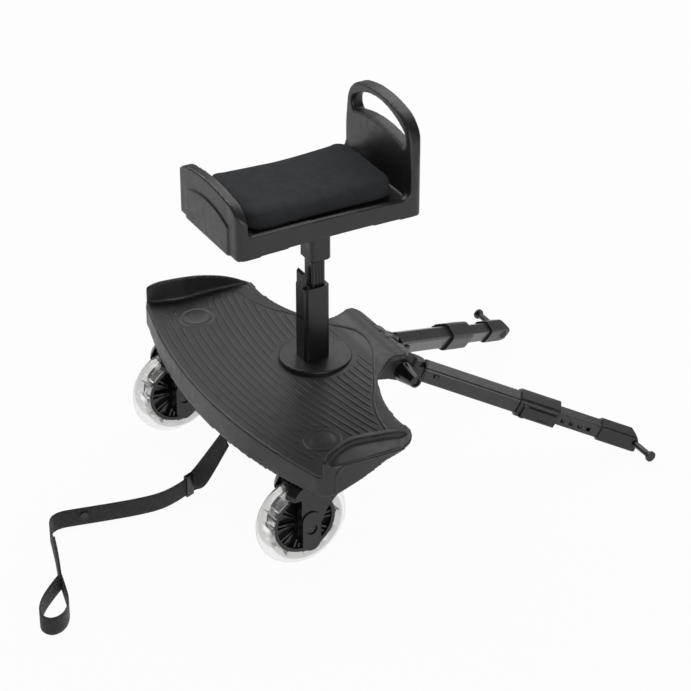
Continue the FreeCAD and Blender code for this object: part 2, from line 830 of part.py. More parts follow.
def make_inner_tube():
    body = arm_bar(INNER_OFFSET, inner_start, inner_end)
    body = body.cut(arm_bar(INNER_OFFSET - inner_wall, inner_start - 1, inner_end + 1))
    half = index_size / 2
    for count in range(index_holes):
        at = index_first + count * index_step
        body = body.cut(box((0, 40), (at - half, at + half), (-3 - half, -3 + half)))
    return on_arm(body)


BOLT_CENTRE = SWING_PIN + ARM_ALONG * bolt_at


def make_end_cap():
    """The shoe on the arm's end: round at the top, and flat where it rests on the floor."""
    body = arm_bar(INNER_OFFSET + cap_wall, cap_start, cap_end)
    side = outline("yz", (cap_start - 5, -40), (cap_end, -40), (cap_end, tube_base_z / 2),
                   ((cap_end - 3.5, 0.5 * tube_ridge_z), (cap_end - 16, tube_ridge_z + 1)),
                   (cap_start - 5, tube_ridge_z + 10))
    body = body.common(prism("yz", side, -40, 40))
    body = body.cut(arm_bar(INNER_OFFSET + snug, cap_start - 1, inner_end + gap))
    body = on_arm(body)
    far = 2 * bolt_at
    body = body.cut(box((-far, far), (-far, far), (-far, 0)))
    middle = BOLT_CENTRE
    body = body.cut(rod(bolt_radius + snug, middle.x - bolt_reach, middle.x + bolt_reach, "x", middle.y, middle.z))
    nut_end = middle.x - bolt_root + 4
    body = body.cut(rod(axle_head_radius - 1, middle.x - bolt_reach, nut_end, "x", middle.y, middle.z))
    return body


def make_coupling_bolt():
    """The bolt that hooks into the pram's frame, with its flared head at the outer end."""
    middle = BOLT_CENTRE
    start = middle.x - bolt_root
    end = middle.x + bolt_reach
    shank = rod(bolt_radius, start, end, "x", middle.y, middle.z)
    foot = V(end - bolt_head - bolt_flare, middle.y, middle.z)
    flare = Part.makeCone(bolt_radius, bolt_head_radius, bolt_flare, foot, V(1, 0, 0))
    head = rod(bolt_head_radius, end - bolt_head, end, "x", middle.y, middle.z)
    nut = rod(axle_head_radius - 1.5, start, start + 3.5, "x", middle.y, middle.z)
    return fused(shank, flare, head, nut)


# Casters and wheels, drawn on the right

AXLE_Y = caster_y - caster_trail
AXLE_Z = wheel_radius


def make_fork():
    """A bell that covers the wheel's top, and two legs that carry the axle."""
    profile = outline("xz", (0, bell_rim_z), (bell_radius, bell_rim_z),
                      ((bell_radius - 4, bell_rim_z + 11), (0.65 * bell_radius, bell_top_z - 6.5)),
                      (bell_neck, bell_top_z - 3), (bell_neck, bell_top_z), (0, bell_top_z))
    bell = Part.Face(profile).revolve(V(0, 0, 0), V(0, 0, 1), 360)
    bell.translate(V(caster_x, caster_y, 0))
    reach = leg_gap + leg_thick
    far = 2 * bell_radius
    slab = box((caster_x - reach, caster_x + reach), (caster_y - far, caster_y + far), (0, 2 * bell_top_z))
    bell = bell.common(slab)
    leg_top = bell_rim_z + 6
    leg_low = AXLE_Z - leg_drop
    rear = AXLE_Y - leg_radius
    front = AXLE_Y + leg_radius
    foot = ((AXLE_Y, leg_low - leg_radius), (front, leg_low))
    bend = (front + 0.4 * (leg_flare - leg_radius), 0.4 * AXLE_Z + 0.6 * bell_rim_z)
    leg_side = outline("yz", (rear, leg_low), foot, (front, AXLE_Z), (bend, (AXLE_Y + leg_flare, bell_rim_z)),
                       (AXLE_Y + leg_flare, leg_top), (rear, leg_top))
    body = bell.fuse(prism("yz", leg_side, caster_x - reach, caster_x + reach))
    room = wheel_radius + wheel_clearance
    body = body.cut(rod(room, caster_x - leg_gap, caster_x + leg_gap, "x", AXLE_Y, AXLE_Z))
    below = box((caster_x - leg_gap, caster_x + leg_gap), (AXLE_Y - room, AXLE_Y + room), (-10, AXLE_Z))
    body = body.cut(below)
    capsule_top = AXLE_Z + capsule_rise
    capsule = outline("yz", (rear, leg_low), foot, (front, capsule_top),
                      ((AXLE_Y, capsule_top + leg_radius), (rear, capsule_top)))
    for side in (-1, 1):
        face_x = caster_x + side * reach
        low = min(face_x - side * capsule_proud, face_x + side * capsule_proud)
        body = body.fuse(prism("yz", capsule, low, low + 2 * capsule_proud))
        low = min(face_x - side * axle_head, face_x + side * 5)
        body = body.cut(rod(axle_head_radius + gap, low, low + axle_head + 5, "x", AXLE_Y, AXLE_Z))
    body = body.cut(rod(axle_radius + snug, caster_x - 60, caster_x + 60, "x", AXLE_Y, AXLE_Z))
    body = body.cut(rod(stem_radius + snug, bell_top_z - stem_grip, 2 * bell_top_z, "z", caster_x, caster_y))
    return body.removeSplitter()


def make_stem():
    top = deck_height(caster_y) - deck_top_wall - 1.0
    return rod(stem_radius, bell_top_z - stem_grip, top, "z", caster_x, caster_y)


def make_bush():
    start = bell_top_z + gap
    top = deck_height(caster_y) - deck_top_wall - 2.0
    sleeve = rod(stem_radius + bush_wall, start, top, "z", caster_x, caster_y)
    flange = rod(bush_flange_radius, start, start + bush_flange, "z", caster_x, caster_y)
    return fused(sleeve, flange).cut(rod(stem_radius + running, start - 1, top + 1, "z", caster_x, caster_y))


def make_axle():
    reach = leg_gap + leg_thick
    shank = rod(axle_radius, caster_x - reach, caster_x + reach, "x", AXLE_Y, AXLE_Z)
    near = rod(axle_head_radius, caster_x - reach, caster_x - reach + axle_head - snug, "x", AXLE_Y, AXLE_Z)
    far = rod(axle_head_radius, caster_x + reach - axle_head + snug, caster_x + reach, "x", AXLE_Y, AXLE_Z)
    return fused(shank, near, far)


def on_axle(shape):
    """A wheel piece drawn about the Z axis, turned onto the right-hand axle."""
    return placed(shape, V(0, 1, 0), V(0, 0, 1), V(1, 0, 0), V(caster_x, AXLE_Y, AXLE_Z))


def make_hub():
    ring = rod(rim_radius, -rim_half, rim_half, "z", 0, 0).cut(rod(rim_radius - rim_wall, -20, 20, "z", 0, 0))
    core = rod(hub_radius, -hub_half, hub_half, "z", 0, 0)
    web = rod(rim_radius - 1, -web_half, web_half, "z", 0, 0)
    body = ring.fuse(core).fuse(web)
    for pair in range(spoke_pairs):
        for side in (-spoke_spread, spoke_spread):
            spoke = box((hub_radius - 3, rim_radius - rim_wall + 1), (-spoke_width / 2, spoke_width / 2),
                        (-spoke_half, spoke_half))
            spoke.rotate(V(0, 0, 0), V(0, 0, 1), 360 * pair / spoke_pairs + side)
            body = body.fuse(spoke)
    body = body.cut(rod(axle_radius + 1.5, -20, 20, "z", 0, 0))
    pocket = bearing_width + 0.2
    body = body.cut(rod(bearing_outer + snug, hub_half - pocket, 20, "z", 0, 0))
    body = body.cut(rod(bearing_outer + snug, -20, pocket - hub_half, "z", 0, 0))
    return on_axle(body.removeSplitter())


def make_tyre():
    seat = rim_radius + snug
    profile = outline("xz", (seat, -rim_half), (seat, rim_half), (seat + rim_lip, tread_half),
                      (tread_crown, tread_half), ((wheel_radius, 0), (tread_crown, -tread_half)),
                      (seat + rim_lip, -tread_half))
    body = Part.Face(profile).revolve(V(0, 0, 0), V(0, 0, 1), 360)
    middle = rim_radius + 1 + window_height / 2
    for count in range(window_count):
        window = box((middle - window_height / 2, middle + window_height / 2),
                     (-window_length / 2, window_length / 2), (-30, 30))
        window.rotate(V(0, 0, 0), V(0, 0, 1), 360 * count / window_count)
        body = body.cut(window)
    return on_axle(body)


def make_bearings():
    pair = []
    for side in (-1, 1):
        low = min(side * hub_half, side * (hub_half - bearing_width))
        ring = rod(bearing_outer, low, low + bearing_width, "z", 0, 0)
        pair.append(on_axle(ring.cut(rod(axle_radius + running, -20, 20, "z", 0, 0))))
    return Part.makeCompound(pair)


# Post and seat

def make_socket():
    disc = rod(disc_radius, socket_floor_z, disc_z, "z", 0, 0)
    rim = [edge for edge in disc.Edges if abs(edge.CenterOfMass.z - disc_z) < 0.01]
    disc = disc.makeFillet(disc_round, rim)
    under = prism("yz", top_profile(-snug, socket_floor_z - disc_radius), -2 * disc_radius, 2 * disc_radius)
    disc = disc.cut(under)
    tube = rod(socket_radius, socket_floor_z, disc_z - 0.5, "z", 0, 0)
    body = tube.fuse(disc)
    body = body.cut(column(sleeve_half + snug, sleeve_half + snug, sleeve_corner + snug,
                           socket_floor_z + socket_floor, disc_z + 10))
    body = body.cut(rod(post_bolt_radius + snug, -40, 40, "x", 0, post_bolt_z))
    return body.removeSplitter()


def make_sleeve():
    low = socket_floor_z + socket_floor
    body = column(sleeve_half, sleeve_half, sleeve_corner, low, sleeve_top)
    depth = lever_thick + gap
    block = column(sleeve_half, sleeve_half + 0.5 * depth, sleeve_corner, disc_z + gap, sleeve_top, -0.5 * depth)
    channel_half = lever_half + gap
    channel = box((-channel_half, channel_half), (-sleeve_half - 2 * depth, -sleeve_half),
                  (lever_low - 2, 2 * sleeve_top))
    body = body.fuse(block).cut(channel)
    pivot_y = -sleeve_half - gap - lever_thick / 2 - 0.5
    bore = post_half + post_play
    body = body.cut(column(bore, bore, post_corner + post_play, low - 1, sleeve_top + 1))
    body = body.cut(rod(post_bolt_radius + snug, -40, 40, "x", 0, post_bolt_z))
    body = body.cut(rod(index_radius + 0.8, -2 * sleeve_half, -post_half + 1, "y", 0, index_z))
    body = body.cut(rod(lever_pin_radius + snug, -40, 40, "x", pivot_y, lever_pivot_z))
    return body.removeSplitter()


def make_lever():
    front = -sleeve_half - gap
    back = front - lever_thick
    side = outline("yz", (back, lever_low), (front, lever_low), (front, lever_pivot_z - 2),
                   (front - lever_relief, lever_pivot_z + 6), (front - lever_relief, lever_high - 2),
                   (front - lever_relief - 2, lever_high), (back + 2, lever_high), (back, lever_high - 3))
    body = prism("yz", side, -lever_half, lever_half)
    body = body.fuse(rod(index_radius, front - 1, front + index_reach, "y", 0, index_z))
    pivot_y = -sleeve_half - gap - lever_thick / 2 - 0.5
    return body.cut(rod(lever_pin_radius + running, -40, 40, "x", pivot_y, lever_pivot_z)).removeSplitter()


def make_lever_pin():
    pivot_y = -sleeve_half - gap - lever_thick / 2 - 0.5
    reach = sleeve_half - lever_pin_radius
    return rod(lever_pin_radius, -reach, reach, "x", pivot_y, lever_pivot_z)


def make_post_bolt():
    return rod(post_bolt_radius, -socket_radius, socket_radius, "x", 0, post_bolt_z)


POST_TOP = seat_floor_z - seat_floor - bracket_plate - 4


def make_upper_post():
    body = column(post_half, post_half, post_corner, post_low, POST_TOP)
    inner = post_half - post_wall
    body = body.cut(column(inner, inner, 1.5, post_low - 1, POST_TOP - 6))
    for side in (-1, 1):
        for shift in (-flute_step, 0, flute_step):
            edge = side * (post_half + 0.3)
            body = body.cut(rod(flute_radius, post_low - 1, bracket_low - 0.5, "z", edge, shift))
            if side > 0:
                body = body.cut(rod(flute_radius, post_low - 1, bracket_low - 0.5, "z", shift, edge))
    slot = box((-index_radius - 0.5, index_radius + 0.5), (-2 * post_half, -post_half + post_wall + 1),
               (index_z - seat_lift - index_radius - 2, index_z + seat_drop + index_radius + 2))
    return body.cut(slot).removeSplitter()


SEAT_SCREWS = [(x, y) for x in (-seat_screw_x, seat_screw_x) for y in (-seat_screw_y, seat_screw_y)]
PLATE_TOP = seat_floor_z - seat_floor


def make_seat_bracket():
    middle = 0.5 * (bracket_half - bracket_rear)
    half_y = 0.5 * (bracket_half + bracket_rear)
    stem = column(bracket_half, half_y, bracket_corner, bracket_low, PLATE_TOP, middle)
    foot = [edge for edge in stem.Edges if abs(edge.BoundBox.ZMax - bracket_low) < 0.01]
    stem = stem.makeChamfer(bracket_chamfer, foot)
    plate = column(bracket_plate_x, bracket_plate_y, bracket_corner, PLATE_TOP - bracket_plate, PLATE_TOP)
    body = stem.fuse(plate)
    for side in (-1, 1):
        root = side * (bracket_rear - 1)
        gusset = outline("yz", (root, PLATE_TOP - 1), (side * (bracket_plate_y - gusset_inset), PLATE_TOP - 1),
                         (root, PLATE_TOP - gusset_height))
        body = body.fuse(prism("yz", gusset, -gusset_half, gusset_half))
    body = body.cut(column(post_half + snug, post_half + snug, post_corner, bracket_low - 1, POST_TOP + snug))
    for x, y in SEAT_SCREWS:
        body = body.cut(rod(screw_radius + snug, bracket_low, 2 * PLATE_TOP, "z", x, y))
    return body.removeSplitter()


def make_seat_screws():
    screws = []
    for x, y in SEAT_SCREWS:
        under = PLATE_TOP - bracket_plate
        shank = rod(screw_radius, under - 1, PLATE_TOP + seat_floor - 1.5, "z", x, y)
        head = rod(screw_head, under - screw_head_height, under, "z", x, y)
        screws.append(fused(shank, head))
    return Part.makeCompound(screws)


def seat_plan(inset, low, high):
    """The seat's rounded rectangle from above, drawn in by an inset."""
    rear = seat_rear - badge_depth
    half_y = 0.5 * (rear + seat_front) - inset
    centre_y = 0.5 * (seat_front - rear)
    return column(seat_half - inset, half_y, seat_corner - 0.7 * inset, low, high, centre_y)


def seat_side_view():
    """Side view of the shell: an arched lower edge, and a rim that sweeps up to the lip and the panel."""
    middle = 0.5 * (seat_front - seat_rear)
    lip_face = lip_thick - seat_rear
    panel_face = seat_front - panel_thick
    rim_rear = (lip_face + sweep, seat_rim_rear_z - 1)
    rim_front = (panel_face - sweep, seat_rim_front_z + 2)
    rim_middle = (middle, 0.5 * (rim_rear[1] + rim_front[1]) + 1.5)
    front_via = (panel_face - 0.3 * sweep, rim_front[1] + 0.4 * sweep)
    rear_via = (lip_face + 0.3 * sweep, rim_rear[1] + 0.2 * sweep)
    back = -seat_rear - seat_margin
    front = seat_front + seat_margin
    panel_high = panel_top + seat_margin
    lip_high = lip_top + seat_margin
    return outline("yz", (back, seat_low_z), ((middle, seat_low_z + seat_arch), (front, seat_low_z)),
                   (front, panel_high), (panel_face, panel_high), (panel_face, rim_front[1] + 1.2 * sweep),
                   (front_via, rim_front), (rim_middle, rim_rear),
                   (rear_via, (lip_face, rim_rear[1] + 0.9 * sweep)), (lip_face, lip_high), (back, lip_high))


def arch_view(shoulder, top, low, wide):
    """Front view of the rear lip or the handle panel: sides up to a shoulder, and an arched top."""
    foot = seat_half + seat_margin
    rise = top - shoulder
    return outline("xz", (-foot, low), (-foot, seat_floor_z), (-wide, shoulder),
                   ((-0.87 * wide, shoulder + 0.52 * rise), (-0.57 * wide, shoulder + 0.85 * rise)),
                   ((0, top), (0.57 * wide, shoulder + 0.85 * rise)),
                   ((0.87 * wide, shoulder + 0.52 * rise), (wide, shoulder)), (foot, seat_floor_z), (foot, low))


def badge_view(low):
    """Front view of the raised panel on the rear lip's outer face."""
    return outline("xz", (-badge_half, low), (-badge_half, badge_shoulder),
                   ((0, badge_top), (badge_half, badge_shoulder)), (badge_half, low))


def handle_slot():
    """The opening under the handle: arched below and above, with round ends."""
    shoulder = slot_half - slot_round
    middle = 0.5 * (slot_end_low + slot_end_high)
    return outline("xz", (-shoulder, slot_end_low), ((0, slot_low), (shoulder, slot_end_low)),
                   ((slot_half, middle), (shoulder, slot_end_high)), ((0, slot_high), (-shoulder, slot_end_high)),
                   ((-slot_half, middle), (-shoulder, slot_end_low)))


def make_seat_shell():
    centre = 0.5 * (seat_front - seat_rear)
    low = seat_low_z - seat_margin
    plan = seat_plan(0, low, 2 * panel_top)
    plan = plan.fuse(prism("xz", badge_view(low), -seat_rear, 0.5 * lip_thick - seat_rear))
    body = prism("yz", seat_side_view(), -2 * seat_half, 2 * seat_half).common(plan)
    rear_wide = seat_half + 0.5 * seat_margin
    rear_arch = prism("xz", arch_view(lip_shoulder, lip_top, low, rear_wide), -2 * seat_rear, centre)
    front_wide = seat_half - panel_draft
    front_arch = prism("xz", arch_view(panel_shoulder, panel_top, low, front_wide), centre, 2 * seat_front)
    body = body.common(rear_arch.fuse(front_arch))
    inner_half_y = 0.5 * (seat_rear + seat_front - lip_thick - panel_thick) - snug
    inner_y = centre + 0.5 * (lip_thick - panel_thick)
    well = column(seat_half - seat_side, inner_half_y, well_corner, seat_floor_z, 2 * seat_floor_z, inner_y)
    body = body.cut(well)
    body = body.cut(prism("xz", handle_slot(), seat_front - 2 * panel_thick, seat_front + panel_thick))
    body = body.cut(seat_plan(seat_skin, low, PLATE_TOP))
    for x, y in SEAT_SCREWS:
        body = body.cut(rod(screw_radius + snug, low, PLATE_TOP + seat_floor - screw_tip, "z", x, y))
    return body.removeSplitter()


def make_cushion():
    """The saddle pad: upright sides, a top that dips in the middle, and a rounded upper edge."""
    half_y = 0.5 * (cushion_rear + cushion_front)
    middle = 0.5 * (cushion_front - cushion_rear)
    base = seat_floor_z + gap
    block = column(cushion_half, half_y, cushion_corner, base, 2 * cushion_high, middle)
    reach = half_y + cushion_corner
    saddle = outline("yz", (middle - reach, base), (middle - reach, cushion_high),
                     ((middle, cushion_high - cushion_dip), (middle + reach, cushion_high)),
                     (middle + reach, base))
    pad = block.common(prism("yz", saddle, -2 * cushion_half, 2 * cushion_half))
    upper = [edge for edge in pad.Edges if edge.BoundBox.ZMin > base + 2 * cushion_round]
    return pad.makeFillet(cushion_round, upper)


# Strap

def anchor_screw_holes():
    """Screw holes from the anchor's foot into the deck's wall."""
    holes = []
    for x in (-anchor_screw_x, anchor_screw_x):
        y = anchor_y + anchor_foot - 4
        holes.append(rod(screw_radius + snug, anchor_low, deck_height(y) - 1.0, "z", x, y))
    return holes


def make_anchor():
    """A hanger under the deck's rear edge, with a slot that the strap is sewn round."""
    rear = anchor_y - anchor_thick / 2
    front = anchor_y + anchor_thick / 2
    foot_end = anchor_y + anchor_foot
    foot = 3.5
    side = outline("yz", (rear, anchor_low), (front, anchor_low), (front, spine_top(front) - foot),
                   (foot_end, spine_top(foot_end) - foot), (foot_end, spine_top(foot_end)), (rear, spine_top(rear)))
    body = prism("yz", side, -anchor_half, anchor_half)
    opening_low = anchor_low + ring_bar
    body = body.cut(box((-strap_width / 2 - 0.3, strap_width / 2 + 0.3), (rear - 5, front + 5),
                        (opening_low, opening_low + ring_opening)))
    for hole in anchor_screw_holes():
        body = body.cut(hole)
    return body.removeSplitter()


def make_anchor_screws():
    screws = []
    y = anchor_y + anchor_foot - 4
    for x in (-anchor_screw_x, anchor_screw_x):
        under = spine_top(y) - 3.9
        shank = rod(screw_radius, under - 1, deck_height(y) - 1.5, "z", x, y)
        head = rod(screw_head, under - screw_head_height, under, "z", x, y)
        screws.append(fused(shank, head))
    return Part.makeCompound(screws)


def rounded_path(points):
    """A wire of straight runs joined by arcs as large as the runs allow, and its least radius."""
    places = [V(*point) for point in points]
    edges = []
    here = places[0]
    radii = []
    for before, corner, after in zip(places, places[1:], places[2:]):
        back = before - corner
        ahead = after - corner
        trim = 0.45 * min(back.Length, ahead.Length)
        back.normalize()
        ahead.normalize()
        half = 0.5 * back.getAngle(ahead)
        radii.append(trim * math.tan(half))
        first = corner + back * trim
        last = corner + ahead * trim
        middle = back + ahead
        middle.normalize()
        centre = corner + middle * (trim / math.cos(half))
        inward = corner - centre
        inward.normalize()
        via = centre + inward * radii[-1]
        edges.append(Part.LineSegment(here, first).toShape())
        edges.append(Part.Arc(first, via, last).toShape())
        here = last
    edges.append(Part.LineSegment(here, places[-1]).toShape())
    return Part.Wire(edges), min(radii)


def webbing(points, low):
    """Webbing that stands on its edge along a route on the floor."""
    path, least = rounded_path([(x, y, low + strap_width / 2) for x, y in points])
    start = path.Edges[0]
    tangent = start.tangentAt(start.FirstParameter)
    across = V(-tangent.y, tangent.x, 0) * (strap_thick / 2)
    up = V(0, 0, strap_width / 2)
    foot = start.Vertexes[0].Point
    corners = [foot + across + up, foot - across + up, foot - across - up, foot + across - up]
    ring = Part.makePolygon(corners + [corners[0]])
    body = path.makePipeShell([ring], True, False)
    print("webbing: length %.1f, least radius %.1f, volume ratio %.4f"
          % (path.Length, least, body.Volume / (path.Length * strap_width * strap_thick)))
    return body


def slider_axes():
    """The slider's near end on the floor, the webbing's direction through it, and the direction across."""
    near, far = (V(*point, 0) for point in strap_route[:2])
    along = far - near
    along.normalize()
    return near, along, V(along.y, -along.x, 0)


def ribbon_ring(centre, wide, thick):
    """The edge of the webbing's section at a place, from its half width and half thickness."""
    corners = [centre + wide + thick, centre - wide + thick, centre - wide - thick, centre + wide - thick]
    return Part.makePolygon(corners + [corners[0]])


def make_strap_upper():
    """The strap's upper end: a sewn fold round the anchor's bar, and a run that turns on edge."""
    half = strap_width / 2
    inner_y = anchor_thick / 2 + gap
    low = anchor_low - gap
    high = anchor_low + ring_bar + gap
    fold = box((-half, half), (anchor_y - inner_y - strap_thick, anchor_y + inner_y + strap_thick),
               (low - strap_thick, high + strap_thick))
    fold = fold.cut(box((-strap_width, strap_width), (anchor_y - inner_y, anchor_y + inner_y), (low, high)))
    near, along, across = slider_axes()
    middle = V(0, 0, strap_lift + half)
    start = V(0, anchor_y, low - strap_thick - snug)
    end = near + middle - along
    first = ribbon_ring(start, V(half, 0, 0), V(0, strap_thick / 2, 0))
    last = ribbon_ring(end, V(0, 0, -half), across * (strap_thick / 2))
    turn = Part.makeLoft([first, last], True, True)
    face = Part.Face(ribbon_ring(end, V(0, 0, half), across * (strap_thick / 2)))
    through = face.extrude(along * (slider_length / 2 + 2))
    return Part.makeCompound([fold, fused(turn, through)])


def run_points():
    """The strap's route on the floor, from the middle of the slider to the loop."""
    near, along, across = slider_axes()
    start = near + along * (slider_length / 2 + 1 + gap)
    return [(start.x, start.y)] + strap_route[1:]


def make_slider():
    """A flat slider frame round the webbing where it comes down to the floor."""
    near, along, across = slider_axes()
    half = slider_depth / 2
    tall = strap_lift + strap_width + gap
    frame = box((-half, half), (1, 1 + slider_length), (0, tall + slider_bar))
    open_half = strap_thick / 2 + gap
    window = box((-open_half, open_half), (-slider_length, 2 * slider_length), (strap_lift - gap, tall))
    return placed(frame.cut(window), across, along, V(0, 0, 1), near)


def make_snap():
    """The press stud on the webbing."""
    near, far = V(*strap_route[4], 0), V(*strap_route[5], 0)
    along = far - near
    along.normalize()
    out = V(-along.y, along.x, 0)
    seat = V(strap_thick / 2 + snap_seat, 0, strap_lift + strap_width / 2)
    stud = Part.makeCylinder(snap_radius, snap_height, seat, V(1, 0, 0))
    middle = near + along * (snap_share * far.distanceToPoint(near))
    return placed(stud, out, along * -1, V(0, 0, 1), middle)


# All the pieces, one file each

def pieces():
    """Every node's name and solid, with the right-hand side's copied to the left."""
    single = {"deck": make_deck(), "spine": make_spine(), "spine_screws": make_spine_screws(),
              "post_socket": make_socket(), "lower_post": make_sleeve(), "post_bolt": make_post_bolt(),
              "height_lever": make_lever(), "lever_pin": make_lever_pin(), "upper_post": make_upper_post(),
              "seat_bracket": make_seat_bracket(), "seat_screws": make_seat_screws(),
              "seat_shell": make_seat_shell(), "seat_cushion": make_cushion(), "hinge_shaft": make_hinge_shaft(),
              "strap_anchor": make_anchor(), "anchor_screws": make_anchor_screws(),
              "strap_upper": make_strap_upper(), "strap_slider": make_slider(),
              "strap_run": webbing(run_points(), strap_lift), "strap_loop": webbing(loop_route, strap_lift),
              "strap_snap": make_snap()}
    handed = {"arm_knuckle": make_knuckle(), "swing_pin": make_swing_pin(), "clamp_knob": make_knob(),
              "arm_root": make_arm_root(), "arm_outer_tube": make_outer_tube(), "arm_rivet": make_rivet(),
              "arm_collar": make_collar(), "arm_latch": make_latch(), "latch_pin": make_latch_pin(),
              "arm_inner_tube": make_inner_tube(), "arm_end_cap": make_end_cap(),
              "coupling_bolt": make_coupling_bolt(),
              "caster_fork": make_fork(), "caster_stem": make_stem(), "swivel_bush": make_bush(),
              "axle_bolt": make_axle(), "wheel_hub": make_hub(), "tyre": make_tyre(),
              "wheel_bearings": make_bearings()}
    named = dict(single)
    for name, shape in handed.items():
        named[name + "_right"] = shape
        named[name + "_left"] = mirrored(shape)
    return named


CORD_NODES = ("strap_upper", "strap_slider", "strap_run", "strap_loop", "strap_snap")


def centred_shift(named):
    """The move along Y that centres the object, without its strap, over the origin."""
    reach = [shape.optimalBoundingBox(False, False) for name, shape in named.items() if name not in CORD_NODES]
    return -0.5 * (min(item.YMin for item in reach) + max(item.YMax for item in reach))


NAMED = pieces()
SHIFT = centred_shift(NAMED)
print("moved along Y by %.3f" % SHIFT)
os.makedirs("parts", exist_ok=True)
for node, solid in NAMED.items():
    solid.translate(V(0, SHIFT, 0))
    solid.exportStep("parts/%s.step" % node)
    good = all(item.isValid() for item in solid.Solids)
    print("%-24s solids %d volume %.1f valid %s" % (node, len(solid.Solids), solid.Volume, good))
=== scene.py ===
"""Looks of a pram's ride-on board with a saddle seat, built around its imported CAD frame."""
from __future__ import annotations

import logging
import math
from dataclasses import dataclass, field
from enum import Enum

import bpy
from mathutils import Matrix, Vector
from mathutils.bvhtree import BVHTree


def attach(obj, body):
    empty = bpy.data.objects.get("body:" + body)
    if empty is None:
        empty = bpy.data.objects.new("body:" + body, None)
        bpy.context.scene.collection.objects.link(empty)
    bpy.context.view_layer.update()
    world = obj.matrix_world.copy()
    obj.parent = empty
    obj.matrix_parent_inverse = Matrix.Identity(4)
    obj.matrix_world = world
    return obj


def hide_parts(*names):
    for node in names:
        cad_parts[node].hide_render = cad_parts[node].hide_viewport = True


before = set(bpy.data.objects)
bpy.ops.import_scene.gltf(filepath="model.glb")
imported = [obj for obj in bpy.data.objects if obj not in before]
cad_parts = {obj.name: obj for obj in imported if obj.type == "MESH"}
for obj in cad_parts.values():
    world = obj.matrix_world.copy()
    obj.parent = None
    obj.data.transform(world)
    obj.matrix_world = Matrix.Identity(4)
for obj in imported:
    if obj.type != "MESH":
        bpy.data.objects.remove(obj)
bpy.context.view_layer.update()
LOG = logging.getLogger("ride_on_board")

Colour = tuple[float, float, float]
Spot = tuple[float, float]
Place = tuple[float, float, float]

MM = 0.001
DRAWING_SHIFT = -106.915

# The part of a noise's range that carries most of it
GREY_LOW = 0.3
GREY_HIGH = 0.7

# How rounded copies are softened and thinned out
SOFTEN_FACTOR = 0.5
CRISP_SHARE = 0.35
FACES_KEPT = 0.4


def at(x: float, y: float, z: float) -> Vector:
    """A place of the part's drawing, with y counted from the seat post, in the frame's metres."""
    return Vector((x * MM, (y + DRAWING_SHIFT) * MM, z * MM))


class Body(Enum):
    """The CAD bodies that new pieces ride on."""

    BOARD = "board"
    SEAT = "seat"


# Finishes


def scaled(colour: Colour, factor: float) -> Colour:
    """A colour made darker or lighter by a factor."""
    return (colour[0] * factor, colour[1] * factor, colour[2] * factor)


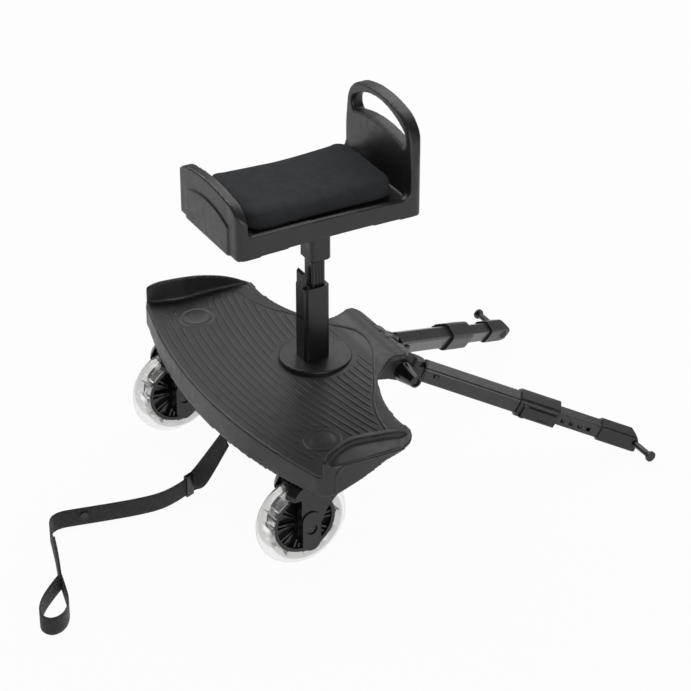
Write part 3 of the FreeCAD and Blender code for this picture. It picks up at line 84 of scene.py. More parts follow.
class Shader:
    """A node material under construction."""

    def __init__(self, name: str) -> None:
        """Start an empty material with one Principled shader.

        Args:
            name: The material's name.
        """
        self.material = bpy.data.materials.new(name)
        self.material.use_nodes = True
        self.tree = self.material.node_tree
        self.tree.nodes.clear()
        self.surface = self.tree.nodes.new("ShaderNodeBsdfPrincipled")
        output = self.tree.nodes.new("ShaderNodeOutputMaterial")
        self.tree.links.new(self.surface.outputs["BSDF"], output.inputs["Surface"])
        self.coordinates = self.tree.nodes.new("ShaderNodeTexCoord")

    def set(self, **sockets: object) -> None:
        """Set constant values on the Principled shader.

        Args:
            **sockets: Values by socket name, with underscores for spaces.
        """
        for name, value in sockets.items():
            self.surface.inputs[name.replace("_", " ")].default_value = value

    def link(self, source: bpy.types.NodeSocket, target: bpy.types.NodeSocket) -> None:
        """Join two sockets."""
        self.tree.links.new(source, target)

    def noise(self, scale: float, detail: float = 2.0) -> bpy.types.NodeSocket:
        """Add a noise texture.

        Args:
            scale: Features for each metre of the surface.
            detail: Octaves of finer noise.

        Returns:
            The noise's grey output.
        """
        node = self.tree.nodes.new("ShaderNodeTexNoise")
        node.inputs["Scale"].default_value = scale
        node.inputs["Detail"].default_value = detail
        self.link(self.coordinates.outputs["Object"], node.inputs["Vector"])
        return node.outputs["Fac"]

    def wave(self, scale: float, direction: str, space: str = "Object") -> bpy.types.NodeSocket:
        """Add a sine wave texture.

        Args:
            scale: Waves for each unit of the coordinate, as Blender counts them.
            direction: The axis that the bands cross.
            space: The texture coordinate that it follows.

        Returns:
            The wave's grey output.
        """
        node = self.tree.nodes.new("ShaderNodeTexWave")
        node.bands_direction = direction
        node.inputs["Scale"].default_value = scale
        node.inputs["Distortion"].default_value = 0.0
        self.link(self.coordinates.outputs[space], node.inputs["Vector"])
        return node.outputs["Fac"]

    def math(self, operation: str, first: bpy.types.NodeSocket, second: object) -> bpy.types.NodeSocket:
        """Combine two greys.

        Args:
            operation: The Math node's operation.
            first: The first grey.
            second: Another grey, or a number.

        Returns:
            The result.
        """
        node = self.tree.nodes.new("ShaderNodeMath")
        node.operation = operation
        self.link(first, node.inputs[0])
        if isinstance(second, (int, float)):
            node.inputs[1].default_value = second
        else:
            self.link(second, node.inputs[1])
        return node.outputs[0]

    def distance(self, axis: str, centre: Vector) -> bpy.types.NodeSocket:
        """Measure how far the surface is from a line along an axis, in the frame.

        Args:
            axis: The axis that the line runs along: x, y or z.
            centre: A point on the line.

        Returns:
            The distance in metres.
        """
        offset = self.tree.nodes.new("ShaderNodeVectorMath")
        offset.operation = "SUBTRACT"
        offset.inputs[1].default_value = centre
        flat = self.tree.nodes.new("ShaderNodeVectorMath")
        flat.operation = "MULTIPLY"
        flat.inputs[1].default_value = [0.0 if name == axis else 1.0 for name in "xyz"]
        length = self.tree.nodes.new("ShaderNodeVectorMath")
        length.operation = "LENGTH"
        self.link(self.coordinates.outputs["Object"], offset.inputs[0])
        self.link(offset.outputs["Vector"], flat.inputs[0])
        self.link(flat.outputs["Vector"], length.inputs[0])
        return length.outputs["Value"]

    def spread(self, grey: bpy.types.NodeSocket, low: float, high: float) -> bpy.types.NodeSocket:
        """Map the middle of a grey's range to new limits.

        Args:
            grey: A grey around one half.
            low: The result at the low end.
            high: The result at the high end.

        Returns:
            The mapped grey.
        """
        node = self.tree.nodes.new("ShaderNodeMapRange")
        node.inputs["From Min"].default_value = GREY_LOW
        node.inputs["From Max"].default_value = GREY_HIGH
        node.inputs["To Min"].default_value = low
        node.inputs["To Max"].default_value = high
        self.link(grey, node.inputs["Value"])
        return node.outputs["Result"]

    def shades(self, grey: bpy.types.NodeSocket, dark: Colour, light: Colour) -> bpy.types.NodeSocket:
        """Turn a grey into a range of colour.

        Args:
            grey: A grey around one half.
            dark: The colour at the low end.
            light: The colour at the high end.

        Returns:
            The colour.
        """
        node = self.tree.nodes.new("ShaderNodeValToRGB")
        node.color_ramp.elements[0].position = GREY_LOW
        node.color_ramp.elements[0].color = (*dark, 1.0)
        node.color_ramp.elements[1].position = GREY_HIGH
        node.color_ramp.elements[1].color = (*light, 1.0)
        self.link(grey, node.inputs["Fac"])
        return node.outputs["Color"]

    def paint(self, colour: bpy.types.NodeSocket) -> None:
        """Use a colour as the surface's base colour."""
        self.link(colour, self.surface.inputs["Base Color"])

    def roughen(self, grey: bpy.types.NodeSocket) -> None:
        """Use a grey as the surface's roughness."""
        self.link(grey, self.surface.inputs["Roughness"])

    def emboss(self, grey: bpy.types.NodeSocket, strength: float, depth: float) -> None:
        """Use a grey as the surface's height.

        Args:
            grey: The height.
            strength: The bump's strength.
            depth: The bump's depth in metres.
        """
        node = self.tree.nodes.new("ShaderNodeBump")
        node.inputs["Strength"].default_value = strength
        node.inputs["Distance"].default_value = depth
        self.link(grey, node.inputs["Height"])
        self.link(node.outputs["Normal"], self.surface.inputs["Normal"])


@dataclass(frozen=True)
class Moulding:
    """Dyed plastic with a fine moulded grain."""

    name: str
    colour: Colour
    roughness: float
    grain: float = 1500.0
    depth: float = 0.00012
    strength: float = 0.25
    grain_detail: float = 2.0
    cloud: float = 35.0
    cloud_detail: float = 3.0
    darkest: float = 0.85
    lightest: float = 1.2
    wear: float = 90.0
    wear_detail: float = 4.0
    smoother: float = 0.05
    rougher: float = 0.06
    metallic: float = 0.0

    def material(self) -> bpy.types.Material:
        """Make the finish's material.

        Returns:
            The new material.
        """
        shader = Shader(self.name)
        shader.set(Metallic=self.metallic)
        cloud = shader.noise(self.cloud, self.cloud_detail)
        shader.paint(shader.shades(cloud, scaled(self.colour, self.darkest), scaled(self.colour, self.lightest)))
        wear = shader.noise(self.wear, self.wear_detail)
        shader.roughen(shader.spread(wear, self.roughness - self.smoother, self.roughness + self.rougher))
        shader.emboss(shader.noise(self.grain, self.grain_detail), self.strength, self.depth)
        return shader.material


@dataclass(frozen=True)
class Coating(Moulding):
    """Powder coat on metal tube, with its orange-peel skin."""

    grain: float = 1400.0
    depth: float = 0.00006
    strength: float = 0.06
    grain_detail: float = 1.0
    cloud: float = 60.0
    darkest: float = 0.88
    lightest: float = 1.15
    wear: float = 150.0
    wear_detail: float = 3.0
    smoother: float = 0.02
    rougher: float = 0.03


@dataclass(frozen=True)
class Plating(Moulding):
    """Zinc plate or blackened steel with faint turning marks."""

    grain: float = 900.0
    depth: float = 0.00005
    strength: float = 0.1
    cloud: float = 120.0
    cloud_detail: float = 4.0
    darkest: float = 0.8
    lightest: float = 1.0
    wear: float = 700.0
    wear_detail: float = 2.0
    smoother: float = 0.06
    rougher: float = 0.08
    metallic: float = 1.0


@dataclass(frozen=True)
class ClearTread:
    """Cast clear polyurethane round a smoky inner ring."""

    name: str
    tint: Colour
    smoke: Colour
    axle_y: float = -114.0
    axle_z: float = 60.0
    ring: float = 50.0
    ring_edge: float = 1.2
    ripple: float = 60.0
    ripple_strength: float = 0.04
    ripple_depth: float = 0.0003

    def material(self) -> bpy.types.Material:
        """Make the finish's material.

        Returns:
            The new material.
        """
        shader = Shader(self.name)
        shader.set(Transmission_Weight=0.95, IOR=1.12, Coat_Weight=0.7, Coat_Roughness=0.08)
        radius = shader.distance("x", at(0.0, self.axle_y, self.axle_z))
        past_ring = shader.math("SUBTRACT", radius, self.ring * MM)
        steepness = (GREY_HIGH - GREY_LOW) / 2 / (self.ring_edge * MM)
        grey = shader.math("ADD", shader.math("MULTIPLY", past_ring, steepness), 0.5)
        shader.paint(shader.shades(grey, self.smoke, self.tint))
        shader.roughen(shader.spread(shader.noise(80.0, 3.0), 0.05, 0.1))
        shader.emboss(shader.noise(self.ripple), self.ripple_strength, self.ripple_depth)
        return shader.material


@dataclass(frozen=True)
class KnitCover:
    """The cushion's fine knitted cover."""

    name: str
    dark: Colour
    light: Colour
    stitches: float = 143.244
    stitch_strength: float = 0.35
    stitch_depth: float = 0.0002

    def material(self) -> bpy.types.Material:
        """Make the finish's material.

        Returns:
            The new material.
        """
        shader = Shader(self.name)
        shader.set(Specular_IOR_Level=0.2, Sheen_Weight=0.05, Sheen_Roughness=0.5, Sheen_Tint=(0.45, 0.5, 0.6, 1.0))
        cross = shader.math("MULTIPLY", shader.wave(self.stitches, "X"), shader.wave(self.stitches, "Y"))
        shader.paint(shader.shades(shader.noise(45.0, 4.0), self.dark, self.light))
        shader.roughen(shader.spread(shader.noise(140.0), 0.82, 0.95))
        shader.emboss(cross, self.stitch_strength, self.stitch_depth)
        return shader.material


@dataclass(frozen=True)
class Webbing:
    """Woven strap: ribs across and a seam of warp threads along, laid out by the strip's own UVs."""

    name: str
    dark: Colour
    light: Colour
    rib_waves: float = 90.0
    warp_waves: float = 3.0
    weave_strength: float = 0.5
    weave_depth: float = 0.0002

    def material(self) -> bpy.types.Material:
        """Make the finish's material.

        Returns:
            The new material.
        """
        shader = Shader(self.name)
        shader.set(Sheen_Weight=0.2, Sheen_Roughness=0.4)
        ribs = shader.wave(self.rib_waves, "X", "UV")
        warp = shader.wave(self.warp_waves, "Y", "UV")
        shader.paint(shader.shades(ribs, self.dark, self.light))
        shader.roughen(shader.spread(shader.noise(300.0), 0.6, 0.8))
        shader.emboss(shader.math("ADD", ribs, warp), self.weave_strength, self.weave_depth)
        return shader.material


class Finish(Enum):
    """Every finish on the board."""

    DECK = Moulding("deck_moulding", (0.014, 0.014, 0.015), 0.42, 1300.0, 0.00014, 0.25)
    SEAT = Moulding("seat_moulding", (0.012, 0.012, 0.013), 0.4, 1500.0, 0.00012, 0.22)
    DARK = Moulding("hinge_moulding", (0.011, 0.011, 0.012), 0.4)
    GLOSS = Moulding("gloss_moulding", (0.008, 0.008, 0.009), 0.2, 400.0, 0.00004, 0.1)
    # Painted reflection: the arm tubes' base colour is lifted well above the post's and the other blacks, so that the
    # tubes read as bright as the light they reflect from the right.
    TUBE = Coating("coated_tube", (0.034, 0.034, 0.035), 0.25)
    POST = Coating("coated_post", (0.006, 0.006, 0.0065), 0.3)
    BLACK_STEEL = Plating("blackened_steel", (0.06, 0.06, 0.06), 0.34)
    ZINC = Plating("zinc_plate", (0.55, 0.55, 0.56), 0.34)
    TREAD = ClearTread("clear_tread", (0.93, 0.935, 0.93), (0.42, 0.42, 0.41))
    COVER = KnitCover("knit_cover", (0.026, 0.027, 0.0293), (0.033, 0.0342, 0.037))
    WEBBING = Webbing("strap_webbing", (0.008, 0.008, 0.009), (0.02, 0.02, 0.022))


class Palette:
    """Makes each finish's material once."""

    def __init__(self) -> None:
        """Start with no materials made."""
        self.made: dict[Finish, bpy.types.Material] = {}

    def of(self, finish: Finish) -> bpy.types.Material:
        """Find a finish's material, and make it where it is new.

        Args:
            finish: The finish.

        Returns:
            Its material.
        """
        if finish not in self.made:
            self.made[finish] = finish.value.material()
        return self.made[finish]


PALETTE = Palette()


def dress(piece: bpy.types.Object, finish: Finish) -> None:
    """Give a piece or a CAD node one finish all over.

    Args:
        piece: The object to dress.
        finish: Its finish.
    """
    piece.data.materials.clear()
    piece.data.materials.append(PALETTE.of(finish))


# Mesh helpers


def show(name: str, mesh: bpy.types.Mesh, smooth: bool = True) -> bpy.types.Object:
    """Add an object with a mesh to the scene.

    Args:
        name: The object's name.
        mesh: Its mesh.
        smooth: Whether it is shaded smooth.

    Returns:
        The new object.
    """
    piece = bpy.data.objects.new(name, mesh)
    bpy.context.collection.objects.link(piece)
    for polygon in mesh.polygons:
        polygon.use_smooth = smooth
    return piece


def new_piece(
    name: str, vertices: list[Vector], faces: list[tuple[int, ...]], smooth: bool = True
) -> bpy.types.Object:
    """Make a mesh object from points and faces.

    Args:
        name: The piece's name.
        vertices: Its points in the frame.
        faces: Its faces as point numbers.
        smooth: Whether it is shaded smooth.

    Returns:
        The new object.
    """
    mesh = bpy.data.meshes.new(name)
    mesh.from_pydata([tuple(v) for v in vertices], [], faces)
    mesh.update()
    return show(name, mesh, smooth)


def enlist(piece: bpy.types.Object, body: Body, finish: Finish) -> bpy.types.Object:
    """Dress a new piece and let it ride on its body.

    Args:
        piece: The new piece.
        body: The body that it moves with.
        finish: Its finish.

    Returns:
        The same piece.
    """
    dress(piece, finish)
    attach(piece, body.value)
    LOG.info("%s: %d points", piece.name, len(piece.data.vertices))
    return piece


def apply_modifiers(piece: bpy.types.Object) -> None:
    """Turn a piece's modifiers into its mesh.

    Args:
        piece: The piece.
    """
    graph = bpy.context.evaluated_depsgraph_get()
    mesh = bpy.data.meshes.new_from_object(piece.evaluated_get(graph))
    piece.modifiers.clear()
    piece.data = mesh


def add_remesh(piece: bpy.types.Object, voxel: float) -> None:
    """Turn a piece's mesh into an even one.

    Args:
        piece: The piece.
        voxel: The mesh's fineness in metres.
    """
    remesh = piece.modifiers.new("remesh", "REMESH")
    remesh.mode = "VOXEL"
    remesh.voxel_size = voxel
    apply_modifiers(piece)


def add_smoothing(piece: bpy.types.Object, passes: int) -> bpy.types.Modifier:
    """Add a modifier that softens a piece's mesh.

    Args:
        piece: The piece.
        passes: How often the mesh is smoothed.

    Returns:
        The modifier.
    """
    smooth = piece.modifiers.new("soften", "SMOOTH")
    smooth.factor = SOFTEN_FACTOR
    smooth.iterations = passes
    return smooth


def shade_smooth(piece: bpy.types.Object) -> None:
    """Shade all of a piece smooth."""
    for polygon in piece.data.polygons:
        polygon.use_smooth = True


def rounded_copy(name: str, node: str, voxel: float, passes: int, crisp_y: float = math.inf) -> bpy.types.Object:
    """Copy a CAD moulding as a fine, even mesh with softened edges.

    Args:
        name: The new piece's name.
        node: The CAD node to copy.
        voxel: The mesh's fineness in metres.
        passes: How often the mesh is smoothed.
        crisp_y: Where the region begins that is smoothed least, along y in the drawing.

    Returns:
        The rounded copy.
    """
    piece = show(name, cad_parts[node].data.copy())
    add_remesh(piece, voxel)
    group = piece.vertex_groups.new(name="softened")
    crisp = at(0, crisp_y, 0).y
    for vertex in piece.data.vertices:
        group.add([vertex.index], CRISP_SHARE if vertex.co.y > crisp else 1.0, "REPLACE")
    add_smoothing(piece, passes).vertex_group = group.name
    thin = piece.modifiers.new("thin", "DECIMATE")
    thin.ratio = FACES_KEPT
    apply_modifiers(piece)
    shade_smooth(piece)
    return piece


def curve_mesh(name: str, places: list[Vector], resolution: int, radius: float = 0.0) -> bpy.types.Mesh:
    """Lay a smooth NURBS curve along places and read it as a mesh.

    Args:
        name: The curve's name.
        places: The curve's control points in the frame.
        resolution: Points for each stretch of the curve.
        radius: The radius of a round bar along the curve, in metres, or nothing for a bare line.

    Returns:
        The curve's mesh.
    """
    data = bpy.data.curves.new(name, "CURVE")
    data.dimensions = "3D"
    data.resolution_u = resolution
    data.bevel_depth = radius
    data.bevel_resolution = 3
    data.use_fill_caps = True
    spline = data.splines.new("NURBS")
    spline.points.add(len(places) - 1)
    for point, place in zip(spline.points, places):
        point.co = (*place, 1.0)
    spline.order_u = 3
    spline.use_endpoint_u = True
    guide = bpy.data.objects.new(name, data)
    bpy.context.collection.objects.link(guide)
    bpy.context.view_layer.update()
    mesh = bpy.data.meshes.new_from_object(guide.evaluated_get(bpy.context.evaluated_depsgraph_get()))
    bpy.data.objects.remove(guide)
    return mesh


# Studio


@dataclass(frozen=True)
class SoftBox:
    """A square lamp that points at the board, placed in the drawing."""

    name: str
    place: Place
    size: float
    power: float


@dataclass
class Studio:
    """The camera at the photograph's angle, a white floor and soft light."""

    eye: Vector = field(default_factory=lambda: at(2491.2, -1359.8, 1872.9))
    target: Vector = field(default_factory=lambda: at(77.0, 0.0, 219.8))
    lens: float = 138.2
    floor_reach: float = 12.0
    paper_grey: float = 0.62
    white_share: float = 0.96
    dim_light: float = 0.12
    lamp_target: Place = (0, 0, 150)
    lamps: tuple[SoftBox, ...] = (
        SoftBox("softbox_back", (-1000, 1500, 2000), 2.4, 34.0),
        SoftBox("softbox_left", (-1700, -450, 2100), 1.8, 31.0),
        SoftBox("softbox_right", (2300, -300, 1000), 1.5, 26.0))

    def build(self) -> None:
        """Make the camera, the floor, the lamps and the world."""
        self.make_camera()
        self.make_floor()
        for lamp in self.lamps:
            self.hang(lamp)
        self.make_world()
        bpy.context.scene.view_settings.view_transform = "Standard"

    def make_camera(self) -> None:
        """Stand the camera where the photograph was taken from."""
        data = bpy.data.cameras.new("camera")
        data.lens = self.lens
        data.sensor_width = 36.0
        data.sensor_fit = "HORIZONTAL"
        data.clip_end = 50.0
        camera = bpy.data.objects.new("camera", data)
        camera.location = self.eye
        camera.rotation_euler = (self.target - self.eye).to_track_quat("-Z", "Y").to_euler()
        bpy.context.collection.objects.link(camera)
        bpy.context.scene.camera = camera

    @staticmethod
    def seen_by(tree: bpy.types.NodeTree, *kinds: str) -> bpy.types.NodeSocket:
        """Tell some kinds of ray from the rest.

        Args:
            tree: The node tree to add to.
            *kinds: The Light Path outputs of these rays.

        Returns:
            A grey that is 1 for these rays and 0 for others.
        """
        path = tree.nodes.new("ShaderNodeLightPath")
        seen = path.outputs[kinds[0]]
        for kind in kinds[1:]:
            either = tree.nodes.new("ShaderNodeMath")
            either.operation = "MAXIMUM"
            tree.links.new(seen, either.inputs[0])
            tree.links.new(path.outputs[kind], either.inputs[1])
            seen = either.outputs[0]
        return seen

    @staticmethod
    def blend(
        tree: bpy.types.NodeTree, share: bpy.types.NodeSocket, first: bpy.types.Node, second: bpy.types.Node, kind: str
    ) -> None:
        """Mix two shaders into a tree's output.

        Args:
            tree: The node tree to add to.
            share: The second shader's share.
            first: The first shader.
            second: The second shader.
            kind: The output node's type.
        """
        mix = tree.nodes.new("ShaderNodeMixShader")
        output = tree.nodes.new(kind)
        tree.links.new(share, mix.inputs["Fac"])
        tree.links.new(first.outputs[0], mix.inputs[1])
        tree.links.new(second.outputs[0], mix.inputs[2])
        tree.links.new(mix.outputs[0], output.inputs["Surface"])

    def make_floor(self) -> None:
        """Lay a white floor that shows nearly white to the camera and keeps a soft shadow."""
        reach = self.floor_reach
        corners = [Vector((x, y, 0.0)) for x, y in ((-reach, -reach), (reach, -reach), (reach, reach), (-reach, reach))]
        floor = new_piece("floor", corners, [(0, 1, 2, 3)], False)
        material = bpy.data.materials.new("floor_paper")
        material.use_nodes = True
        tree = material.node_tree
        tree.nodes.clear()
        paper = tree.nodes.new("ShaderNodeBsdfDiffuse")
        paper.inputs["Color"].default_value = (self.paper_grey, self.paper_grey, self.paper_grey, 1.0)
        glow = tree.nodes.new("ShaderNodeEmission")
        glow.inputs["Color"].default_value = (1.0, 1.0, 1.0, 1.0)
        glow.inputs["Strength"].default_value = 1.0
        share = tree.nodes.new("ShaderNodeMath")
        share.operation = "MULTIPLY"
        share.inputs[1].default_value = self.white_share
        seen = self.seen_by(tree, "Is Camera Ray", "Is Glossy Ray", "Is Transmission Ray")
        tree.links.new(seen, share.inputs[0])
        self.blend(tree, share.outputs[0], paper, glow, "ShaderNodeOutputMaterial")
        floor.data.materials.append(material)

    def hang(self, lamp: SoftBox) -> None:
        """Hang one soft box.

        Args:
            lamp: Its name, place, size and power.
        """
        data = bpy.data.lights.new(lamp.name, "AREA")
        data.shape = "SQUARE"
        data.size = lamp.size
        data.energy = lamp.power
        piece = bpy.data.objects.new(lamp.name, data)
        piece.location = at(*lamp.place)
        aim = at(*self.lamp_target) - at(*lamp.place)
        piece.rotation_euler = aim.to_track_quat("-Z", "Y").to_euler()
        bpy.context.collection.objects.link(piece)

    def make_world(self) -> None:
        """Make a world that is white to the camera and dimmer as light."""
        world = bpy.data.worlds.new("studio")
        bpy.context.scene.world = world
        world.use_nodes = True
        tree = world.node_tree
        tree.nodes.clear()
        light = tree.nodes.new("ShaderNodeBackground")
        light.inputs["Color"].default_value = (1.0, 1.0, 1.0, 1.0)
        light.inputs["Strength"].default_value = self.dim_light
        white = tree.nodes.new("ShaderNodeBackground")
        white.inputs["Color"].default_value = (1.0, 1.0, 1.0, 1.0)
        white.inputs["Strength"].default_value = 1.0
        seen = self.seen_by(tree, "Is Camera Ray", "Is Transmission Ray")
        self.blend(tree, seen, light, white, "ShaderNodeOutputWorld")


# Strap


@dataclass
class Strap:
    """The lifting strap: a flat band from the anchor, through the slider and along the floor to its hand loop."""

    width: float = 25.0
    thickness: float = 1.7
    route: tuple[Place, ...] = (
        (0, -128, 82), (-4, -133, 71), (-12, -146, 44), (-20, -158, 20), (-23.5, -165, 14.5), (-20.6, -172.7, 14.6),
        (-15, -187, 13.6), (-8, -214, 12.9), (-11, -246, 12.8), (-19, -284, 12.8), (-28, -322, 12.8),
        (-33, -345, 12.8), (-24, -361, 12.8), (8, -370, 12.8), (48, -382, 12.8), (87.1, -395.9, 13.4))
    loop_route: tuple[Place, ...] = (
        (87.5, -396, 13.4), (104, -417, 12.9), (126, -438, 12.8), (149, -449, 12.8), (165, -441, 12.8),
        (161, -422, 12.8), (140, -407, 12.8), (114, -400, 12.9), (89, -394.3, 13.4))
    line_resolution: int = 14
    turn_start: float = -128.0
    turn_end: float = -165.0
    sewn_points: int = 22
    sewn_lift: float = -1.8
    uv_along: float = 10.0
    uv_across: float = 1.25
    profile: tuple[Spot, ...] = (
        (-1.0, -0.4), (-0.94, -1.0), (-0.45, -1.0), (0.0, -1.0), (0.45, -1.0), (0.94, -1.0), (1.0, -0.4),
        (1.0, 0.4), (0.94, 1.0), (0.45, 1.0), (0.0, 1.0), (-0.45, 1.0), (-0.94, 1.0), (-1.0, 0.4))

    def line(self, route: tuple[Place, ...]) -> list[Vector]:
        """Read points from the smooth curve through a route.

        Args:
            route: The route's points in the drawing.

        Returns:
            Closely spaced points along the curve.
        """
        mesh = curve_mesh("strap_line", [at(*place) for place in route], self.line_resolution)
        points = [v.co.copy() for v in mesh.vertices]
        bpy.data.meshes.remove(mesh)
        return points

    def band(self, name: str, points: list[Vector], widths: list[Vector], lift: float = 0.0) -> bpy.types.Object:
        """Make a flat woven band with rounded edges along points.

        Args:
            name: The piece's name.
            points: The band's middle line.
            widths: The direction of the band's width at each point.
            lift: How far the band lies off the line, in millimetres.

        Returns:
            The new band, with UVs along and across it.
        """
        half = self.width / 2 * MM
        thin = self.thickness / 2 * MM
        vertices: list[Vector] = []
        faces: list[tuple[int, ...]] = []
        lengths = [0.0]
        for before, after in zip(points, points[1:]):
            lengths.append(lengths[-1] + (after - before).length)
        count = len(self.profile)
        last = len(points) - 1
        for index, point in enumerate(points):
            ahead = points[min(index + 1, last)] - points[max(index - 1, 0)]
            ahead.normalize()
            wide = widths[index] - ahead * widths[index].dot(ahead)
            wide.normalize()
            out = ahead.cross(wide)
            for u, v in self.profile:
                vertices.append(point + wide * (u * half) + out * (v * thin + lift * MM))
        for index in range(last):
            row = index * count
            for corner in range(count):
                after = (corner + 1) % count
                faces.append((row + corner, row + after, row + count + after, row + count + corner))
        faces.append(tuple(reversed(range(count))))
        faces.append(tuple(last * count + corner for corner in range(count)))
        piece = new_piece(name, vertices, faces)
        layer = piece.data.uv_layers.new(name="strip")
        for polygon in piece.data.polygons:
            for loop in polygon.loop_indices:
                row, corner = divmod(piece.data.loops[loop].vertex_index, count)
                layer.data[loop].uv = (lengths[row] * self.uv_along, self.profile[corner][0] * self.uv_across)
        return piece

    def band_widths(self, points: list[Vector]) -> list[Vector]:
        """Turn the band from flat at the anchor to upright on the floor.

        Args:
            points: The band's middle line.

        Returns:
            The direction of the band's width at each point.
        """
        start = at(0, self.turn_start, 0).y
        end = at(0, self.turn_end, 0).y
        widths = []
        for point in points:
            share = min(max((point.y - start) / (end - start), 0.0), 1.0)
            angle = share * math.pi / 2
            widths.append(Vector((math.cos(angle), 0.0, -math.sin(angle))))
        return widths

    def build(self) -> None:
        points = self.line(self.route)
        band = self.band("strap_band", points, self.band_widths(points))
        enlist(band, Body.BOARD, Finish.WEBBING)
        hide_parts("strap_upper", "strap_run")
        loop_points = self.line(self.loop_route)
        up = Vector((0.0, 0.0, 1.0))
        loop = self.band("strap_hand_loop", loop_points, [up] * len(loop_points))
        enlist(loop, Body.BOARD, Finish.WEBBING)
        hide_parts("strap_loop")
        tail = points[-self.sewn_points:]
        sewn = self.band("strap_sewn_end", tail, [up] * len(tail), self.sewn_lift)
        enlist(sewn, Body.BOARD, Finish.WEBBING)
        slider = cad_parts["strap_slider"]
        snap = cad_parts["strap_snap"]
        dress(slider, Finish.GLOSS)
        dress(snap, Finish.BLACK_STEEL)


# Deck


@dataclass
class Deck:
    """The board: its rounded moulding, raised ribs and border, framed side lips and two round pads."""

    voxel: float = 0.0017
    passes: int = 6
    hood_edge: float = 88.0
    surface_z: float = 164.0
    surface_slope: float = 0.055
    above: float = 400.0
    rear_radius: float = 787.0
    first_rib: float = -143.0
    rib_pitch: float = 9.5
    rib_count: int = 21
    rib_reach: float = 200.0
    rib_step: float = 2.0
    rib_width: float = 4.3
    rib_height: float = 0.75
    least_points: int = 6
    rib_profile: tuple[Spot, ...] = (
        (-0.5, -0.3), (-0.42, 0.7), (-0.32, 1.0), (0.32, 1.0), (0.42, 0.7), (0.5, -0.3))
    rib_ends: tuple[float, ...] = (0.25, 0.75, 1.0)
    edge: tuple[Spot, ...] = (
        (-160, 196), (-14, 196), (-6, 165), (4, 135), (16, 112), (30, 94), (44, 70), (52, 54))
    disc_clear: float = 53.0
    bead_step: float = 3.0
    bead_passes: int = 6
    bead: tuple[Spot, ...] = (
        (-192, -8), (-160, -2), (-130, 9), (-101, 28), (-60, 50), (-45, 60), (-22, 69.5), (0, 72), (22, 69.5),
        (45, 60), (60, 50), (101, 28), (130, 9), (160, -2), (192, -8))
    frame_line: tuple[Spot, ...] = (
        (-107, 138), (-107, 152), (-106, 166), (-96, 172.6), (-82, 172.6), (-66, 171.3), (-44, 168), (-24, 164),
        (-8, 161))
    frame_line_radius: float = 2.2
    frame_line_sunk: float = 0.35
    frame_line_resolution: int = 12
    pad_x: float = 167.0
    pad_y: float = -82.0
    pad_clear: float = 27.0
    pad_sides: int = 64
    pad_profile: tuple[Spot, ...] = (
        (0.0, 1.3), (5.0, 1.25), (10.0, 1.05), (14.0, 0.7), (16.0, 0.3), (18.0, 0.25), (19.2, 0.5), (20.6, 0.75),
        (22.0, 0.75), (23.2, 0.45), (24.2, -0.3))

    def __post_init__(self) -> None:
        """Read the CAD deck's surface, to lay pieces on it."""
        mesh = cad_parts["deck"].data
        self.surface = BVHTree.FromPolygons([v.co for v in mesh.vertices], [tuple(p.vertices) for p in mesh.polygons])

    def top(self, x: float, y: float) -> Vector:
        """Find the deck's top at a place of the drawing.

        Args:
            x: The place across the deck.
            y: The place along the deck.

        Returns:
            The point on the top, in the frame.
        """
        hit = self.surface.ray_cast(at(x, y, self.above), Vector((0, 0, -1)))
        return hit[0] if hit[0] else at(x, y, self.surface_z + self.surface_slope * y)

    def limit(self, y: float) -> float:
        """Find how far out from the middle the ribs reach.

        Args:
            y: The distance from the post along the deck.

        Returns:
            The reach in the drawing.
        """
        for (y0, x0), (y1, x1) in zip(self.edge, self.edge[1:]):
            if y0 <= y <= y1:
                return x0 + (x1 - x0) * (y - y0) / (y1 - y0)
        return 0.0

    def ribbed(self, x: float, y: float) -> bool:
        """Tell whether a rib may run through a place of the drawing.

        Args:
            x: The place across the deck.
            y: The place along the deck.

        Returns:
            Whether the place is clear of the edges, the disc and the pads.
        """
        if abs(x) > self.limit(y) or math.hypot(x, y) < self.disc_clear:
            return False
        return math.hypot(abs(x) - self.pad_x, y - self.pad_y) > self.pad_clear

    def make_ribs(self) -> bpy.types.Object:
        """Make the raised ribs, which follow the rear edge and stop short of the pads, the disc and the edges.

        Returns:
            The ribs as one piece.
        """
        vertices: list[Vector] = []
        faces: list[tuple[int, ...]] = []
        steps = round(2 * self.rib_reach / self.rib_step)
        for line in range(self.rib_count):
            base = self.first_rib + line * self.rib_pitch
            run: list[Spot] = []
            for step in range(steps + 2):
                x = step * self.rib_step - self.rib_reach
                y = base + x * x / (2 * self.rear_radius)
                if step <= steps and self.ribbed(x, y):
                    run.append((x, y))
                    continue
                if len(run) >= self.least_points:
                    self.add_rib(run, vertices, faces)
                run = []
        return new_piece("deck_ribs", vertices, faces)

    def make_bead(self) -> bpy.types.Object:
        """Make the raised line that borders the standing surface along its front edges and before the hood.

        Returns:
            The raised line.
        """
        vertices: list[Vector] = []
        faces: list[tuple[int, ...]] = []
        run: list[Spot] = []
        for (x0, y0), (x1, y1) in zip(self.bead, self.bead[1:]):
            steps = max(int((x1 - x0) / self.bead_step), 1)
            for step in range(steps):
                share = step / steps
                run.append((x0 + (x1 - x0) * share, y0 + (y1 - y0) * share))
        run.append(self.bead[-1])
        for _ in range(self.bead_passes):
            inner = [(x, (b + 2 * y + a) / 4) for (_, b), (x, y), (_, a) in zip(run, run[1:], run[2:])]
            run = [run[0], *inner, run[-1]]
        self.add_rib(run, vertices, faces)
        return new_piece("border_bead", vertices, faces)

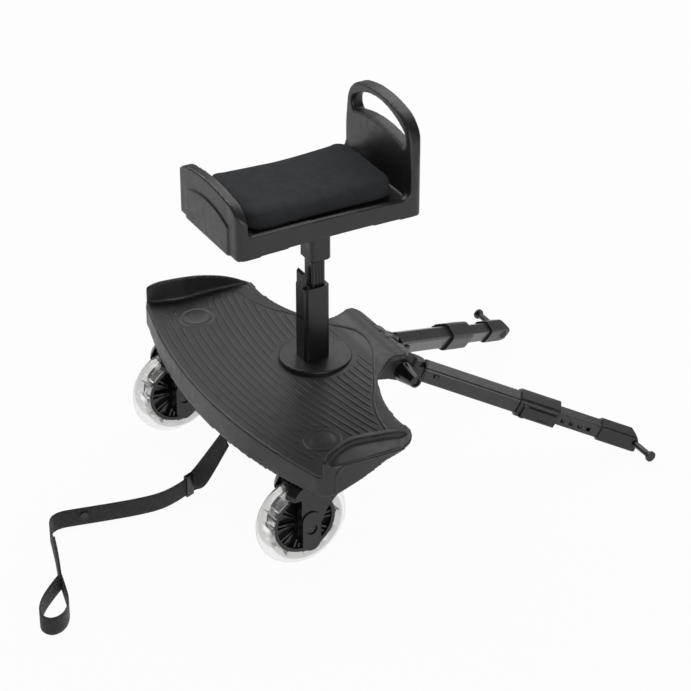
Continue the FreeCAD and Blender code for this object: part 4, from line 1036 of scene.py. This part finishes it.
    def add_rib(self, run: list[Spot], vertices: list[Vector], faces: list[tuple[int, ...]]) -> None:
        """Add one rib with rounded ends to a mesh under construction.

        Args:
            run: The rib's line in the drawing.
            vertices: The mesh's points, added to.
            faces: The mesh's faces, added to.
        """
        first = len(vertices)
        count = len(self.rib_profile)
        last_end = len(self.rib_ends) - 1
        for index, (x, y) in enumerate(run):
            from_end = min(index, len(run) - 1 - index)
            size = self.rib_ends[min(from_end, last_end)] * MM
            middle = self.top(x, y)
            for u, v in self.rib_profile:
                vertices.append(middle + Vector((0, u * self.rib_width * size, v * self.rib_height * size)))
        for index in range(len(run) - 1):
            for corner in range(count - 1):
                a = first + index * count + corner
                faces.append((a, a + count, a + count + 1, a + 1))

    def make_frame_line(self, name: str, side: int) -> bpy.types.Object:
        """Make the raised line that frames a side lip's outer face.

        Args:
            name: The line's name.
            side: 1 on the right and -1 on the left.

        Returns:
            The new line.
        """
        radius = self.frame_line_radius * MM
        sunk = Vector((side * self.frame_line_sunk * radius, 0, 0))
        places = []
        for y, z in self.frame_line:
            hit = self.surface.ray_cast(at(side * self.above, y, z), Vector((-side, 0, 0)))
            if hit[0]:
                places.append(hit[0] - sunk)
        return show(name, curve_mesh(name, places, self.frame_line_resolution, radius))

    def make_pad(self, name: str, x: float) -> bpy.types.Object:
        """Make a round pad with a raised ring and a low dome.

        Args:
            name: The pad's name.
            x: Its place across the deck.

        Returns:
            The new pad.
        """
        sides = self.pad_sides
        middle = self.top(x, self.pad_y)
        tilt = Matrix.Rotation(math.atan(self.surface_slope), 3, "X")
        vertices = [middle + tilt @ Vector((0, 0, self.pad_profile[0][1] * MM))]
        faces: list[tuple[int, ...]] = []
        for radius, height in self.pad_profile[1:]:
            for side in range(sides):
                angle = 2 * math.pi * side / sides
                spoke = Vector((radius * math.cos(angle), radius * math.sin(angle), height))
                vertices.append(middle + tilt @ spoke * MM)
        for side in range(sides):
            faces.append((0, 1 + side, 1 + (side + 1) % sides))
        for ring in range(len(self.pad_profile) - 2):
            for side in range(sides):
                a = 1 + ring * sides + side
                b = 1 + ring * sides + (side + 1) % sides
                faces.append((a, a + sides, b + sides, b))
        return new_piece(name, vertices, faces)

    def build(self) -> None:
        """Make the moulding and what is raised on it, and dress the deck's CAD nodes."""
        board = rounded_copy("board_moulding", "deck", self.voxel, self.passes, self.hood_edge)
        pieces = (
            board, self.make_bead(), self.make_ribs(),
            self.make_frame_line("side_frame_left", -1), self.make_frame_line("side_frame_right", 1),
            self.make_pad("foot_pad_left", -self.pad_x), self.make_pad("foot_pad_right", self.pad_x))
        for piece in pieces:
            enlist(piece, Body.BOARD, Finish.DECK)
        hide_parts("deck")
        for name in ("post_socket", "spine", "strap_anchor"):
            dress(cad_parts[name], Finish.DARK)


# Seat


@dataclass
class Seat:
    """The saddle seat: its shell, its cushion and its post."""

    shell_voxel: float = 0.0016
    shell_passes: int = 5
    voxel: float = 0.005
    pressure: float = 4.0
    cap: float = 0.0025
    frames: int = 20
    cushion_passes: int = 4

    def fill(self, pad: bpy.types.Object) -> None:
        """Fill a pad like a stuffed cover, by a cloth simulation with pressure inside.

        Args:
            pad: The pad.
        """
        rest = [v.co.copy() for v in pad.data.vertices]
        cloth = pad.modifiers.new("cloth", "CLOTH")
        cloth.settings.use_pressure = True
        cloth.settings.uniform_pressure_force = self.pressure
        cloth.settings.effector_weights.gravity = 0.0
        for number in range(1, self.frames + 1):
            bpy.context.scene.frame_set(number)
        apply_modifiers(pad)
        for vertex, place in zip(pad.data.vertices, rest):
            move = vertex.co - place
            if move.length > self.cap:
                vertex.co = place + move * (self.cap / move.length)
        bpy.context.scene.frame_set(1)

    def make_cushion(self) -> bpy.types.Object:
        """Make the cushion from the CAD pad.

        Returns:
            The cushion.
        """
        pad = show("saddle_cushion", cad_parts["seat_cushion"].data.copy())
        add_remesh(pad, self.voxel)
        self.fill(pad)
        add_smoothing(pad, self.cushion_passes)
        finer = pad.modifiers.new("finer", "SUBSURF")
        finer.levels = 1
        finer.render_levels = 1
        apply_modifiers(pad)
        shade_smooth(pad)
        return pad

    def build(self) -> None:
        """Make the cushion and the shell, and dress the seat's CAD nodes."""
        cushion = enlist(self.make_cushion(), Body.SEAT, Finish.COVER)
        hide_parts("seat_cushion")
        shell = rounded_copy("saddle_shell", "seat_shell", self.shell_voxel, self.shell_passes)
        enlist(shell, Body.SEAT, Finish.SEAT)
        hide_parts("seat_shell")
        dress(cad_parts["seat_bracket"], Finish.DARK)
        for name in ("height_lever", "lower_post", "upper_post"):
            dress(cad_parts[name], Finish.POST)
        for name in ("seat_screws", "post_bolt", "spine_screws", "anchor_screws", "hinge_shaft"):
            dress(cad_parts[name], Finish.ZINC)
        dress(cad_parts["lever_pin"], Finish.BLACK_STEEL)


# Arms and casters


@dataclass
class Handed:
    """The pieces that come in pairs: arms and casters."""

    finishes: tuple[tuple[str, Finish], ...] = (
        ("arm_knuckle", Finish.DARK), ("arm_root", Finish.DARK), ("arm_collar", Finish.DARK),
        ("arm_latch", Finish.DARK), ("arm_end_cap", Finish.DARK), ("clamp_knob", Finish.GLOSS),
        ("arm_outer_tube", Finish.TUBE), ("arm_inner_tube", Finish.TUBE), ("coupling_bolt", Finish.BLACK_STEEL),
        ("arm_rivet", Finish.BLACK_STEEL), ("swing_pin", Finish.BLACK_STEEL), ("latch_pin", Finish.BLACK_STEEL),
        ("caster_fork", Finish.GLOSS), ("wheel_hub", Finish.GLOSS), ("tyre", Finish.TREAD),
        ("wheel_bearings", Finish.ZINC), ("axle_bolt", Finish.BLACK_STEEL), ("caster_stem", Finish.ZINC),
        ("swivel_bush", Finish.DARK))

    def build(self) -> None:
        """Dress both sides' CAD nodes."""
        for name, finish in self.finishes:
            for side in ("left", "right"):
                dress(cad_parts[f"{name}_{side}"], finish)


def main() -> None:
    """Build the scene."""
    logging.basicConfig(level=logging.INFO, format="%(message)s")
    for part in (Studio(), Strap(), Deck(), Seat(), Handed()):
        part.build()
        LOG.info("built %s", type(part).__name__)
    bpy.context.view_layer.update()


if __name__ == "__main__":
    main()
